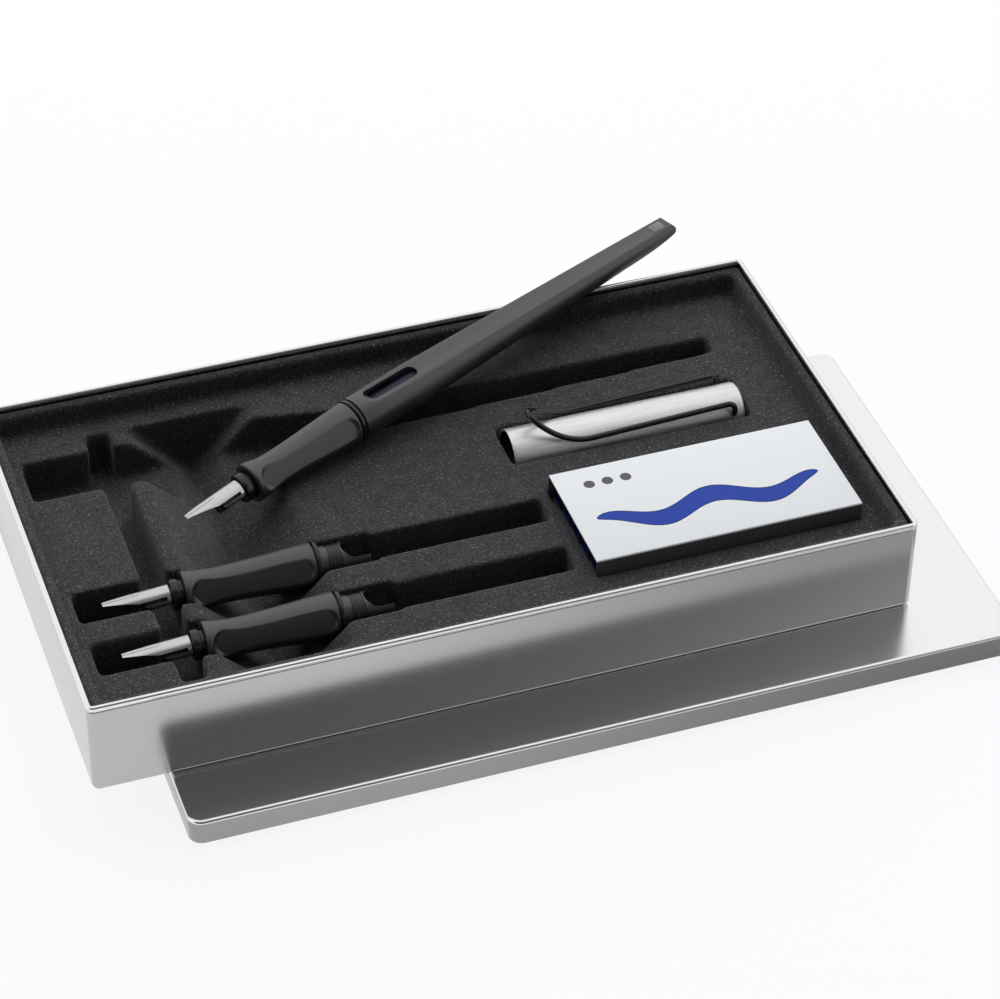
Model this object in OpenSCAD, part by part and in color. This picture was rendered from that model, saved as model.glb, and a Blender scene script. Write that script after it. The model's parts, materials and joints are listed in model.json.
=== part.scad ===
// Calligraphy set: a sheet-metal tray with a moulded foam insert stands on its own lid.
// The insert holds two spare nib sections, a pen cap and a carton of ink cartridges.
// The pen lies across the tray, on the edge of the finger trough and on the back rim.
// Lengths are in millimetres. x runs along the tray, y to the back and z up from the table.

/* [Tray] */
// Length of the tray over its walls
tray_length = 225; // [222:1:240]
// Depth of the tray from front to back
tray_depth = 125.4; // [124:0.2:132]
// Height of the tray's wall
tray_height = 28.6; // [28:0.1:31]
// Radius of the tray's upright corners
tray_corner = 2; // [1.8:0.1:4]
// Radius of the tray's bottom edge
tray_edge = 1.6; // [1:0.1:1.6]
// Thickness of the sheet that tray and lid are drawn from
sheet = 0.8; // [0.5:0.05:0.9]
// Thickness of the rim, where the sheet is folded back on itself
rim_width = 1.4; // [1.1:0.1:1.8]
// Height of the folded rim
rim_height = 1.7; // [1:0.1:3]

/* [Lid] */
// Height of the lid
lid_height = 7.5; // [6:0.1:10]
// Gap between the tray's wall and the lid's skirt when the box is closed
lid_clearance = 0.9; // [0.5:0.1:1.5]
// Radius of the lid's top edge
lid_edge = 0.9; // [0.85:0.05:1.6]
// How far the lid reaches to the right of the tray's left wall
lid_offset_x = 20; // [10:1:28]
// How far the lid reaches in front of the tray
lid_offset_y = 18.9; // [8:0.1:24]

/* [Foam insert] */
// Height of the deck between the pits, above the tray's underside
deck_height = 20.6; // [20.2:0.1:21]
// Height of the frame round the deck, above the tray's underside
frame_height = 26.7; // [24:0.1:27]
// Distance from the tray's outer wall to the inside of the frame
frame_reach = 4.3; // [3.5:0.1:6]
// Radius of the deck's corners
deck_corner = 2.2; // [1:0.1:4]
// Gap between the insert and the folded rim
foam_gap = 0.25; // [0.1:0.05:0.5]
// Left end of the nib pits
nib_pit_left = 8; // [7:0.1:8.4]
// Height of the floor of nib pits and cross channel
nib_floor = 8.5; // [4:0.1:10.5]
// Left side of the cross channel that joins the nib pits
channel_left = 27.2; // [25:0.1:28]
// Width of the cross channel
channel_width = 6.7; // [5:0.1:7]
// Distance from the tray's front and back walls to the channel and the trough
channel_end = 11.2; // [9:0.1:13]
// Left edge of the finger trough at deck level
trough_left = 38.4; // [37.5:0.1:39.5]
// Right edge of the finger trough at deck level
trough_right = 73.2; // [72.5:0.1:73.8]
// Radius of the trough's shoulders
trough_shoulder = 4; // [1:0.5:5]
// Height of the bottom of the finger trough
trough_floor = 3.2; // [2.5:0.1:6]
// Radius of the corners where deck and cross channel meet
tongue_radius = 1.6; // [0.8:0.1:2.4]

/* [Pits] */
// Middle of the pen's pit, from the tray's front wall
pen_pit_y = 99.85; // [98.5:0.1:100.5]
// Width of the pen's pit at the grip
pen_pit_width = 15.9; // [14.5:0.1:16.5]
// Height of the floor of the pen's pit
pen_pit_floor = 9.9; // [9:0.1:11]
// Distance from the pen's pit to the tray's right wall
pen_pit_end = 19.7; // [17:0.1:25]
// Width of the pen's pit at its right end
pen_pit_tail = 6.5; // [5:0.1:8]
// Middle of the rear spare section's pit
spare_a_y = 46.3; // [45.5:0.1:47]
// Middle of the front spare section's pit
spare_b_y = 25.7; // [25:0.1:26.5]
// Width of the nib pits of the spare sections
spare_nib_pit = 11.6; // [10:0.1:12.5]
// Foam left between the two slots behind the spare sections and the carton's place
slot_end_wall = 3.6; // [3:0.1:20]
// Width of the slots behind the spare sections
spare_slot_width = 9; // [7:0.1:10]
// Gap between a piece and the foam that carries or surrounds it
rest_gap = 0.3; // [0.25:0.05:0.4]

/* [Nib and feed] */
// Length of the nib in front of the neck
nib_length = 17.7; // [17:0.1:18.4]
// Outer radius of the nib's curved plate
nib_radius = 3; // [2.9:0.05:3.1]
// Thickness of the nib's plate
nib_plate = 0.3; // [0.2:0.05:0.35]
// Width of the broad writing edge
nib_tip_width = 1.5; // [0.6:0.1:2.5]
// How far the nib's crown falls from the neck to the tip
nib_droop = 1.3; // [0.8:0.1:1.6]
// Gap between nib and feed
feed_gap = 0.2; // [0.1:0.05:0.3]
// Length of the feed in front of the neck
feed_length = 7.8; // [7.6:0.1:9]

/* [Grip section] */
// Length of the grip from its front lip to the seal ring
grip_length = 35.2; // [34.5:0.1:36.5]
// Radius of the grip's front lip
lip_radius = 5.7; // [5.5:0.05:5.8]
// Radius of the grip's waist
waist_radius = 5; // [4.9:0.05:5.2]
// Radius of the neck in front of the grip
neck_radius = 4.15; // [4:0.05:4.3]
// Length of the neck
neck_length = 3.4; // [3:0.1:3.8]
// Distance from the pen's axis to the finger facets at their front end
facet_front = 3.75; // [3.65:0.05:4]
// Distance from the pen's axis to the finger facets at their rear end
facet_rear = 5.2; // [5:0.05:5.4]
// Angle between the nib's crown and each finger facet
facet_angle = 63; // [57:1:67]
// Outer radius of the tube that screws into the barrel
tube_radius = 4.3; // [4.2:0.05:4.35]
// Length of that tube behind the seal ring
tube_length = 14.2; // [13:0.1:16]
// Length of the two prongs at the end of the tube
prong_length = 7.4; // [5:0.1:8]
// Width of the notch between the prongs
notch_width = 6.8; // [5:0.1:7]
// Width of the seal ring
ring_width = 1.1; // [0.8:0.1:1.4]
// Width of the grooves beside the seal ring
ring_groove = 0.45; // [0.3:0.05:0.6]

/* [Barrel] */
// Radius of the pen at the seal ring
body_radius = 6.2; // [6.15:0.05:6.25]
// Length from the seal ring to the end of the barrel
barrel_length = 120.8; // [117:0.2:125]
// Radius of the barrel's rounded sides at its end
tail_radius = 3.5; // [3.3:0.05:3.8]
// Height of the two flats over the axis, next to the grip
flat_front = 5.05; // [5:0.05:5.15]
// Height of the two flats over the axis, at the end
flat_rear = 2.6; // [2.4:0.05:2.9]
// Length of the ink window
window_length = 18.2; // [14:0.1:20]
// Width of the ink window
window_width = 4.6; // [3:0.1:5.3]
// Length of the inlaid plate at the barrel's end
plate_length = 4.4; // [3:0.1:6]

/* [Pen on the tray] */
// Distance of the seal ring from the tray's left wall
pen_ring_x = 96.3; // [95.5:0.1:97]
// Distance of the seal ring from the tray's front wall
pen_ring_y = 89.9; // [89:0.1:90.5]
// Angle between the pen and the tray's long side
pen_turn = 23.35; // [22.5:0.05:24]

/* [Spare sections] */
// Distance of both seal rings from the tray's left wall
spare_ring_x = 72.7; // [72.4:0.1:73.2]

/* [Cap] */
// Distance from the cap's closed end to the tray's right wall
cap_right = 21.1; // [20:0.1:23]
// Middle of the cap, from the tray's front wall
cap_y = 74.55; // [73.5:0.1:75.5]
// Length of the cap's metal tube
cap_length = 67.8; // [66.5:0.1:68.4]
// Outer radius of the cap
cap_radius = 6.8; // [6.75:0.05:6.9]
// Wall of the cap's tube
cap_wall = 0.45; // [0.35:0.05:0.5]
// How much of the cap lies below deck level, from the deck to its axis
cap_sink = 2.95; // [2.5:0.05:3.4]
// Radius of the clip's wire
wire_radius = 0.8; // [0.6:0.05:0.8]
// Height of the clip's tip over the cap's axis
clip_tip = 12.4; // [10:0.1:13]

/* [Ink carton] */
// Distance from the carton to the tray's right wall
carton_right = 9; // [8.5:0.1:10.5]
// Front side of the carton
carton_front = 16.2; // [14:0.1:17.5]
// Length of the carton
carton_length = 75.6; // [75:0.1:77]
// Width of the carton
carton_width = 37.5; // [37.2:0.1:39]
// Thickness of the carton
carton_height = 8.4; // [8.2:0.1:9]
// Height of the carton's top over the deck
carton_proud = 4.7; // [3:0.1:5.5]
// Thickness of the card
card = 0.45; // [0.3:0.05:0.5]

/* [Cartridge] */
// Number of cartridges in the carton
cartridge_count = 5; // [1:1:5]
// Radius of a cartridge's body
cartridge_radius = 3.5; // [3.4:0.05:3.5]
// Radius of a cartridge's mouth and tail
cartridge_neck = 2.7; // [2.5:0.05:2.8]
// Length of a cartridge
cartridge_length = 73; // [71:0.5:74]

/* [Hidden] */
$fn = 72;

// How far a cutter reaches past the surface that it cuts
past = 1;
// Play between parts that slide or screw into each other
fit = 0.1;
running_fit = 0.05;

// Colours, as the object shows them
steel = "#b8b9bb";
foam_black = "#3b3d41";
plastic_black = "#2c2d2f";
nib_steel = "#d4d4d2";
aluminium = "#e2e3e5";
board_white = "#e9eaec";
ink_blue = "#2b3f9c";
plate_grey = "#7d7e82";

// Lid, drawn to slip over the tray
lid_overhang = lid_clearance + sheet;
lid_length = tray_length + 2 * lid_overhang;
lid_depth = tray_depth + 2 * lid_overhang;
lid_corner = tray_corner + lid_overhang;

// Insert inside the folded rim
foam_inset = rim_width + foam_gap;
foam_corner_least = 0.3;
foam_corner = max(tray_corner - foam_inset, foam_corner_least);
rim_line_drop = 1.6;
rim_line_size = 0.2;

// Places along a section, measured from the middle of its seal ring to the rear
grip_rear = -ring_width / 2 - ring_groove;
lip_at = grip_rear - grip_length;
neck_at = lip_at - neck_length;
nib_clearance = 0.2;
nib_base_at = neck_at - nib_clearance;
nib_tip_at = nib_base_at - nib_length;
barrel_at = ring_width / 2 + ring_groove;
spigot_radius = body_radius - 1.2;
waist_share = 0.28;
lip_edge = 0.6;
grip_steps = 20;
facet_start = lip_at + 1.6;
facet_end = grip_rear - 0.8;
facet_width = 7.6;
facet_tilt = atan((facet_rear - facet_front) / (facet_end - facet_start));

// Nib: a curved plate whose axis lies below the pen's and falls towards the tip
nib_centre = 0.1;
nib_fall = atan(nib_droop / nib_length);
nib_shoulder = 9.2;
nib_half_width = 2.35;
flank_length = 7.2;
flank_slot = 0.5;
flank_root = 1;
flank_top = 1.3;
flank_bottom = -0.2;
slit_width = 0.2;
slit_length = 10;
fin_count = 4;
fin_pitch = 1.1;
fin_slot = 0.4;
fin_depth = 0.9;
feed_top = 1;
// Levels inside the slot beside the nib's plate: the plate's outline starts and the flank's block ends
plate_from = flank_top - 0.75 * flank_slot;
flank_to = flank_top - 0.25 * flank_slot;
// Stretch of the nib's root that keeps its full width
root_step = 0.8 * flank_root;

// Inside of a section: the feed's bore, a nipple and the cartridge's seat
feed_tail = 14;
cartridge_seat = neck_at + feed_tail + 2.5;
nipple_radius = 1.5;
nipple_length = 4;
ink_hole = 0.6;
cartridge_mouth = 8;
cartridge_chamfer = 0.8;
cartridge_body = 40;

// Barrel
side_taper_at = 20;
flat_at = 9;
flat_fall = atan((flat_front - flat_rear) / (barrel_length - flat_at));
nose_radius = 1.4;
sweep_at = barrel_length - 24;
window_at = 5.3;
wide_bore_end = tube_length + 2;
cartridge_travel = 7;
plate_inset = 2.6;
plate_depth = 0.5;
plate_width = 3.4;

// Cap
cap_left = tray_length - cap_right - cap_length;
cap_z = deck_height - cap_sink;
cap_shoulder = 1.2;
cap_end_wall = 1.6;
cap_end_hole = 4.4;
liner_start = 32;
liner_wall = 0.7;
finial_flange = 4.9;
finial_flange_width = 0.8;
finial_height = 0.4;
cap_pit_front = 1.2;
cap_pit_end = 0.7;

// Clip, in the cap's own frame: x from the mouth, y across and z over the axis
peg_x = cap_length - 3.7;
peg_z = 2.6;
foot_y = cap_radius + 0.2;
cap_pit_width = 2 * (foot_y + wire_radius + rest_gap);
leg_y = 6.5;
leg_rear_z = 6.6;
leg_front_z = 4.85;
leg_front_x = 22;
clip_bend = 1.5;
foot_bend = 0.85;
loop_reach = 16.3;
peg_inner = cap_radius - 1.4;
wire_sides = 10;

// Carton
carton_left = tray_length - carton_right - carton_length;
carton_z = deck_height + carton_proud - carton_height;
carton_pit_gap = 0.5;
cartridge_spacing = 2 * cartridge_radius + 0.25;

// Pits: lengths along the trough and the slots
pen_pit_right = tray_length - pen_pit_end;
spare_slot_right = carton_left - slot_end_wall;
spare_slot_start = spare_ring_x + tube_length + 2.1;
spare_slot_shift = -0.4;
spare_z = deck_height - 2.3;
spare_pit_width = 2 * (body_radius + rest_gap);
spare_tube_pit = 11.2;
cradle_front_floor = spare_z - lip_radius - rest_gap;
cradle_rear_floor = spare_z - body_radius - rest_gap;

// Trough: its slope, and how far its shoulders reach beyond its edges
trough_slope = atan((deck_height - trough_floor) / ((trough_right - trough_left) / 2));
shoulder_reach = trough_shoulder * tan(trough_slope / 2);

// Pen pose: the grip rests on the trough's right shoulder, and the barrel on the back rim,
// whose inner edge meets the front corner of the lower flat
grip_contact = (trough_right + shoulder_reach - pen_ring_x) / cos(pen_turn);
rim_middle = (tray_depth - rim_width / 2 - pen_ring_y) / sin(pen_turn);
flat_half_width = sqrt(pow(side_radius(rim_middle), 2) - pow(flat_height(rim_middle), 2));
rim_contact = rim_middle - rim_width / 2 / sin(pen_turn) - flat_half_width / tan(pen_turn);
grip_contact_z = deck_height + grip_radius(grip_contact) + rest_gap;
rim_contact_z = tray_height + flat_height(rim_contact) + rest_gap;
pen_pitch = atan((rim_contact_z - grip_contact_z) / (rim_contact - grip_contact));
pen_ring_z = grip_contact_z - grip_contact * tan(pen_pitch);

// The origin is on the table, under the middle of the whole set
tail_reach_y = pen_ring_y + barrel_length * cos(pen_pitch) * sin(pen_turn) + tail_radius * cos(pen_turn);
middle = [(lid_offset_x + lid_length) / 2, (tail_reach_y - lid_offset_y) / 2, 0];

// Eased step from 0 to 1 as t goes from 0 to 1
function ease(t) = t <= 0 ? 0 : t >= 1 ? 1 : (1 - cos(180 * t)) / 2;

// Radius of the grip at a place along its axis: lip, waist, then a long swell to the ring
function grip_radius(s) =
    let (u = (s - lip_at) / grip_length)
    u < waist_share
        ? lip_radius + (waist_radius - lip_radius) * ease(u / waist_share)
        : waist_radius + (body_radius - 0.1 - waist_radius) * ease((u - waist_share) / (1 - waist_share));

// Height of the barrel's flats over its axis
function flat_height(s) = flat_front + (flat_rear - flat_front) * (s - flat_at) / (barrel_length - flat_at);

// Radius of the barrel's rounded sides
function side_radius(s) =
    body_radius + (tail_radius - body_radius) * max(0, s - side_taper_at) / (barrel_length - side_taper_at);

// Moves what is built in the tray's corner, at tray level, to the shared frame
module on_table(height = 0) {
    translate([0, 0, height] - middle) children();
}

// Plan of a rectangle with round corners
module rounded_plan(length, depth, radius) {
    translate([radius, 0]) square([length - 2 * radius, depth]);
    translate([0, radius]) square([length, depth - 2 * radius]);
    for (x = [radius, length - radius], y = [radius, depth - radius])
        translate([x, y]) circle(radius);
}

// Plan of a slot with round ends
module slot_plan(length, width) {
    translate([width / 2, -width / 2]) square([length - width, width]);
    for (x = [width / 2, length - width / 2])
        translate([x, 0]) circle(width / 2);
}

// Cross-section of a slab whose two lower edges are round
module edge_profile(width, height, edge) {
    translate([0, edge]) square([width, height - edge]);
    translate([edge, 0]) square([width - 2 * edge, edge + past / 100]);
    for (x = [edge, width - edge])
        translate([x, edge]) circle(edge);
}

// Slab with round upright corners and a round lower edge
module soft_slab(length, depth, height, corner, edge) {
    translate([corner, 0, 0])
        rotate([90, 0, 90]) linear_extrude(length - 2 * corner) edge_profile(depth, height, edge);
    translate([0, depth - corner, 0])
        rotate([90, 0, 0]) linear_extrude(depth - 2 * corner) edge_profile(length, height, edge);
    for (x = [corner, length - corner], y = [corner, depth - corner])
        translate([x, y, 0]) rotate_extrude() {
            translate([0, edge]) square([corner, height - edge]);
            square([corner - edge, edge + past / 100]);
            translate([corner - edge, edge]) intersection() {
                circle(edge);
                translate([0, -edge]) square([edge, 2 * edge]);
            }
        }
}

// Revolves an outline of [radius, place] points about the pen's axis
module along_axis() {
    rotate([0, 90, 0]) rotate_extrude() children();
}

// Round bar on the axis, between two places
module axis_bar(radius, start, end) {
    translate([start, 0, 0]) rotate([0, 90, 0]) cylinder(r = radius, h = end - start);
}

// Frame of the pen as it lies on the tray: its seal ring at the origin, the tail towards +x
module pen_frame() {
    on_table(lid_height)
        translate([pen_ring_x, pen_ring_y, pen_ring_z]) rotate([0, -pen_pitch, pen_turn]) children();
}

// Frame of a spare section in its pit
module spare_frame(middle_y) {
    on_table(lid_height) translate([spare_ring_x, middle_y, spare_z]) children();
}

// Frame of the cap in its pit, with the mouth at the origin
module cap_frame() {
    on_table(lid_height) translate([cap_left, cap_y, cap_z]) children();
}

// Lid, lying face up on the table
module lid_shell() {
    color(steel) on_table(lid_height) translate([lid_offset_x, -lid_offset_y, 0]) mirror([0, 0, 1])
        difference() {
            soft_slab(lid_length, lid_depth, lid_height, lid_corner, lid_edge);
            translate([sheet, sheet, sheet])
                soft_slab(lid_length - 2 * sheet, lid_depth - 2 * sheet, lid_height, lid_corner - sheet,
                    lid_edge - sheet + 0.2);
        }
}

// Tray with a rim that is folded inwards and a fine line under the fold
module tray_shell() {
    inner_corner = tray_corner - sheet;
    color(steel) on_table(lid_height) difference() {
        soft_slab(tray_length, tray_depth, tray_height, tray_corner, tray_edge);
        intersection() {
            translate([sheet, sheet, sheet])
                soft_slab(tray_length - 2 * sheet, tray_depth - 2 * sheet, tray_height, inner_corner,
                    max(tray_edge - sheet, 0.2));
            cube([tray_length, tray_depth, tray_height - rim_height]);
        }
        translate([rim_width, rim_width, tray_height - rim_height - past])
            linear_extrude(rim_height + 2 * past)
                rounded_plan(tray_length - 2 * rim_width, tray_depth - 2 * rim_width,
                    tray_corner - rim_width);
        translate([0, 0, tray_height - rim_line_drop - rim_line_size])
            linear_extrude(rim_line_size) difference() {
                translate([-past, -past]) square([tray_length + 2 * past, tray_depth + 2 * past]);
                translate([rim_line_size, rim_line_size])
                    rounded_plan(tray_length - 2 * rim_line_size, tray_depth - 2 * rim_line_size,
                        tray_corner - rim_line_size);
            }
    }
}

// Upright pit from its floor to above the deck
module pit(left, right, y, width, floor_z) {
    translate([left, y - width / 2, floor_z]) cube([right - left, width, frame_height - floor_z + past]);
}

// Rounds a deck corner that points at [x, y]; the deck lies towards [side_x, side_y]
module tongue_corner(x, y, side_x, side_y, floor_z) {
    translate([x, y, floor_z]) linear_extrude(frame_height - floor_z + past) difference() {
        translate([min(0, side_x * tongue_radius), min(0, side_y * tongue_radius)]) square(tongue_radius);
        translate([side_x, side_y] * tongue_radius) circle(tongue_radius);
    }
}

// Pit for one spare section: nib, grip, tube and the slot that its barrel would need
module spare_pit(y) {
    channel_right = channel_left + channel_width;
    pit(nib_pit_left, channel_left + past, y, spare_nib_pit, nib_floor);
    pit(channel_right - past, trough_left + spare_pit_width / 2, y, spare_pit_width, cradle_front_floor);
    pit(trough_left + spare_pit_width / 2, spare_ring_x + barrel_at, y, spare_pit_width, cradle_rear_floor);
    pit(spare_ring_x, spare_slot_start, y, spare_tube_pit, cradle_rear_floor);
    pit(spare_slot_start - past, spare_slot_right, y + spare_slot_shift, spare_slot_width, pen_pit_floor);
    for (side = [-1, 1]) {
        tongue_corner(channel_left, y + side * spare_nib_pit / 2, -1, side, nib_floor);
        tongue_corner(channel_right, y + side * spare_pit_width / 2, 1, side, cradle_front_floor);
    }
}

// Pit for the whole pen, tapering like its barrel
module pen_pit() {
    channel_right = channel_left + channel_width;
    half = pen_pit_width / 2;
    taper_x = trough_right + 26;
    pit(nib_pit_left, channel_left + past, pen_pit_y, pen_pit_width, nib_floor);
    pit(channel_right - past, trough_right + past, pen_pit_y, pen_pit_width, pen_pit_floor);
    translate([0, pen_pit_y, pen_pit_floor]) linear_extrude(frame_height - pen_pit_floor + past) polygon([
        [trough_right, -half],
        [taper_x, -half + 0.7],
        [pen_pit_right, -pen_pit_tail / 2 - 0.3],
        [pen_pit_right, pen_pit_tail / 2 - 0.3],
        [taper_x, half - 4.6],
        [trough_right, half]
    ]);
    for (side = [-1, 1])
        tongue_corner(channel_left, pen_pit_y + side * half, -1, side, nib_floor);
    tongue_corner(channel_right, pen_pit_y - half, 1, -1, pen_pit_floor);
}

// Half of the trough's outline from the deck to its bottom, as [distance from the middle, height] points.
// The shoulder is an arc that touches the deck and the slope.
function trough_half() =
    let (start = (trough_right - trough_left) / 2 + shoulder_reach)
    concat(
        [for (i = [0 : 4]) let (a = trough_slope * i / 4)
            [start - trough_shoulder * sin(a), deck_height - trough_shoulder * (1 - cos(a))]],
        [[0, trough_floor]]
    );

// Finger trough: a V with soft shoulders that crosses all three pits
module finger_trough() {
    right = trough_half();
    left = [for (i = [len(right) - 2 : -1 : 0]) [-right[i][0], right[i][1]]];
    top = [[left[len(left) - 1][0], frame_height + past], [right[0][0], frame_height + past]];
    translate([(trough_left + trough_right) / 2, tray_depth - channel_end, 0]) rotate([90, 0, 0])
        linear_extrude(tray_depth - 2 * channel_end) polygon(concat(right, left, top));
}

// Moulded foam insert with a raised frame
module foam_insert() {
    length = tray_length - 2 * foam_inset;
    depth = tray_depth - 2 * foam_inset;
    color(foam_black) on_table(lid_height) difference() {
        translate([foam_inset, foam_inset, sheet])
            linear_extrude(frame_height - sheet) rounded_plan(length, depth, foam_corner);
        translate([frame_reach, frame_reach, deck_height])
            linear_extrude(frame_height - deck_height + past)
                rounded_plan(tray_length - 2 * frame_reach, tray_depth - 2 * frame_reach, deck_corner);
        translate([channel_left, channel_end, nib_floor])
            cube([channel_width, tray_depth - 2 * channel_end, frame_height]);
        finger_trough();
        pen_pit();
        spare_pit(spare_a_y);
        spare_pit(spare_b_y);
        pit(cap_left - cap_pit_front, cap_left + cap_length + finial_height + cap_pit_end, cap_y,
            cap_pit_width, cap_z - cap_radius - rest_gap);
        pit(carton_left - carton_pit_gap, carton_left + carton_length + carton_pit_gap,
            carton_front + carton_width / 2, carton_width + 2 * carton_pit_gap, carton_z);
    }
}

// Bar on the nib's own falling axis, from a start near the neck to a length in front of it
module nib_axis_bar(radius, length, start = 0) {
    translate([nib_base_at, 0, nib_centre]) rotate([0, -90 - nib_fall, 0])
        translate([0, 0, start]) cylinder(r = radius, h = length - start);
}

// Nib: curved plate with a long slit, tapered to a broad edge, and a flank on either side
module nib() {
    front = -nib_length;
    color(nib_steel) intersection() {
        difference() {
            nib_axis_bar(nib_radius, nib_length + past);
            nib_axis_bar(nib_radius - nib_plate, nib_length + 2 * past, -past);
            translate([nib_tip_at - past, -slit_width / 2, 0])
                cube([slit_length + past, slit_width, 2 * nib_radius]);
            for (side = [-1, 1])
                translate([nib_tip_at, side * nib_radius - nib_radius / 2, flank_top - flank_slot])
                    cube([nib_length - flank_root, nib_radius, flank_slot]);
        }
        union() {
            translate([nib_base_at, 0, plate_from]) linear_extrude(2 * nib_radius) polygon([
                [0, -nib_radius - past],
                [-root_step, -nib_radius - past],
                [-root_step, -nib_half_width],
                [front + nib_shoulder, -nib_half_width],
                [front, -nib_tip_width / 2],
                [front, nib_tip_width / 2],
                [front + nib_shoulder, nib_half_width],
                [-root_step, nib_half_width],
                [-root_step, nib_radius + past],
                [0, nib_radius + past]
            ]);
            translate([nib_base_at - flank_length, -nib_radius - past, flank_bottom])
                cube([flank_length, 2 * (nib_radius + past), flank_to - flank_bottom]);
        }
    }
}

// Feed: a bar under the nib with a slanted nose and a comb of fins
module feed() {
    radius = nib_radius - nib_plate - feed_gap;
    nose = neck_at - feed_length;
    color(plastic_black) {
        difference() {
            intersection() {
                nib_axis_bar(radius, nib_length);
                translate([nose, -radius, -2 * radius]) cube([feed_length, 2 * radius, 2 * radius + feed_top]);
            }
            translate([nose, 0, 0]) rotate([0, 45, 0])
                translate([-3 * radius, -2 * radius, -4 * radius]) cube([3 * radius, 4 * radius, 8 * radius]);
            for (i = [0 : fin_count - 1])
                translate([nib_base_at - 1.2 - i * fin_pitch, -2 * radius, -2 * radius])
                    cube([fin_slot, 4 * radius, radius + fin_depth + nib_centre]);
        }
        axis_bar(radius, neck_at - nib_clearance - past / 100, neck_at + feed_tail);
    }
}

// Outline of the section from the neck to the end of its tube, as [radius, place] points
function section_outline() = concat(
    [[0, neck_at], [neck_radius - 0.3, neck_at], [neck_radius, neck_at + 0.3], [neck_radius, lip_at]],
    [for (a = [0 : 30 : 60])
        [lip_radius - lip_edge * (1 - sin(a)), lip_at + lip_edge * (1 - cos(a))]],
    [for (i = [1 : grip_steps]) let (s = lip_at + lip_edge + i * (grip_length - lip_edge) / grip_steps)
        [grip_radius(s), s]],
    [[spigot_radius, grip_rear], [spigot_radius, barrel_at - running_fit],
     [tube_radius, barrel_at - running_fit], [tube_radius, tube_length], [0, tube_length]]
);

// Grip section: neck, grip with two finger facets, spigot for the ring, tube with prongs
module section() {
    color(plastic_black) difference() {
        along_axis() polygon(section_outline());
        for (side = [-1, 1])
            rotate([side * facet_angle, 0, 0])
                translate([facet_start, 0, facet_front]) rotate([0, -facet_tilt, 0])
                    linear_extrude(body_radius) slot_plan(facet_end - facet_start, facet_width);
        axis_bar(nib_radius - nib_plate - feed_gap + fit / 2, neck_at - past, neck_at + feed_tail + fit);
        axis_bar(ink_hole, neck_at, cartridge_seat + nipple_length + past);
        difference() {
            axis_bar(cartridge_neck + fit, cartridge_seat - nipple_length / 16, tube_length);
            axis_bar(nipple_radius, cartridge_seat - past, cartridge_seat + nipple_length);
        }
        axis_bar(cartridge_radius + fit, cartridge_seat + cartridge_mouth - cartridge_chamfer,
            tube_length + past);
        translate([tube_length - prong_length, 0, -body_radius])
            linear_extrude(2 * body_radius) slot_plan(2 * prong_length, notch_width);
    }
}

// Seal ring between grip and barrel
module seal_ring() {
    edge = 0.25;
    half = ring_width / 2;
    color(plastic_black) along_axis() polygon([
        [spigot_radius + running_fit, -half],
        [body_radius - edge, -half],
        [body_radius, -half + edge],
        [body_radius, half - edge],
        [body_radius - edge, half],
        [spigot_radius + running_fit, half]
    ]);
}

// Side view of the barrel: round at the ring, flat above and below, swept up to a round nose
function barrel_side() =
    let (
        full = body_radius + past,
        front_steps = [for (i = [0 : 5]) i / 5],
        front = [for (t = front_steps)
            [barrel_at + t * (flat_at - barrel_at), full - (full - flat_front) * sin(90 * t)]],
        nose_x = barrel_length - nose_radius,
        nose_z = flat_rear - nose_radius,
        nose = [for (a = [90 : -15 : -75]) [nose_x + nose_radius * cos(a), nose_z + nose_radius * sin(a)]],
        sweep_end = nose[len(nose) - 1],
        sweep_start = -flat_height(sweep_at),
        sweep = [for (i = [7 : -1 : 0]) let (t = i / 8)
            [sweep_at + t * (sweep_end[0] - sweep_at), sweep_start + (sweep_end[1] - sweep_start) * t * t]],
        back = [for (i = [5 : -1 : 0]) [front[i][0], -front[i][1]]]
    )
    concat(front, nose, sweep, back);

// Barrel: a tapered round bar with two flats, an ink window through them and a stepped bore
module pen_barrel() {
    bore = tube_radius + fit;
    cartridge_end = cartridge_seat + cartridge_length;
    body_end = cartridge_seat + cartridge_mouth + cartridge_body;
    color(plastic_black) pen_frame() difference() {
        intersection() {
            along_axis() polygon([
                [0, barrel_at], [body_radius, barrel_at], [body_radius, side_taper_at],
                [tail_radius, barrel_length], [0, barrel_length]
            ]);
            translate([0, body_radius + past, 0]) rotate([90, 0, 0])
                linear_extrude(2 * (body_radius + past)) polygon(barrel_side());
        }
        axis_bar(bore, barrel_at - past, wide_bore_end);
        axis_bar(cartridge_radius + 2 * fit, barrel_at, body_end + cartridge_travel);
        axis_bar(cartridge_neck + 2 * fit, barrel_at, cartridge_end + cartridge_travel);
        translate([window_at, 0, -body_radius - past])
            linear_extrude(2 * (body_radius + past)) slot_plan(window_length, window_width);
        end_plate_place() translate([0, -plate_width / 2 - fit, -plate_depth])
            cube([plate_length + 2 * fit, plate_width + 2 * fit, plate_depth + past]);
    }
}

// Place of the inlaid plate: on the upper flat, next to the nose
module end_plate_place() {
    start = barrel_length - plate_inset - plate_length;
    translate([start, 0, flat_height(start)]) rotate([0, flat_fall, 0]) children();
}

// Plate inlaid in the upper flat at the barrel's end
module pen_end_plate() {
    color(plate_grey) pen_frame() end_plate_place()
        translate([fit, -plate_width / 2, -plate_depth]) cube([plate_length, plate_width, plate_depth]);
}

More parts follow.
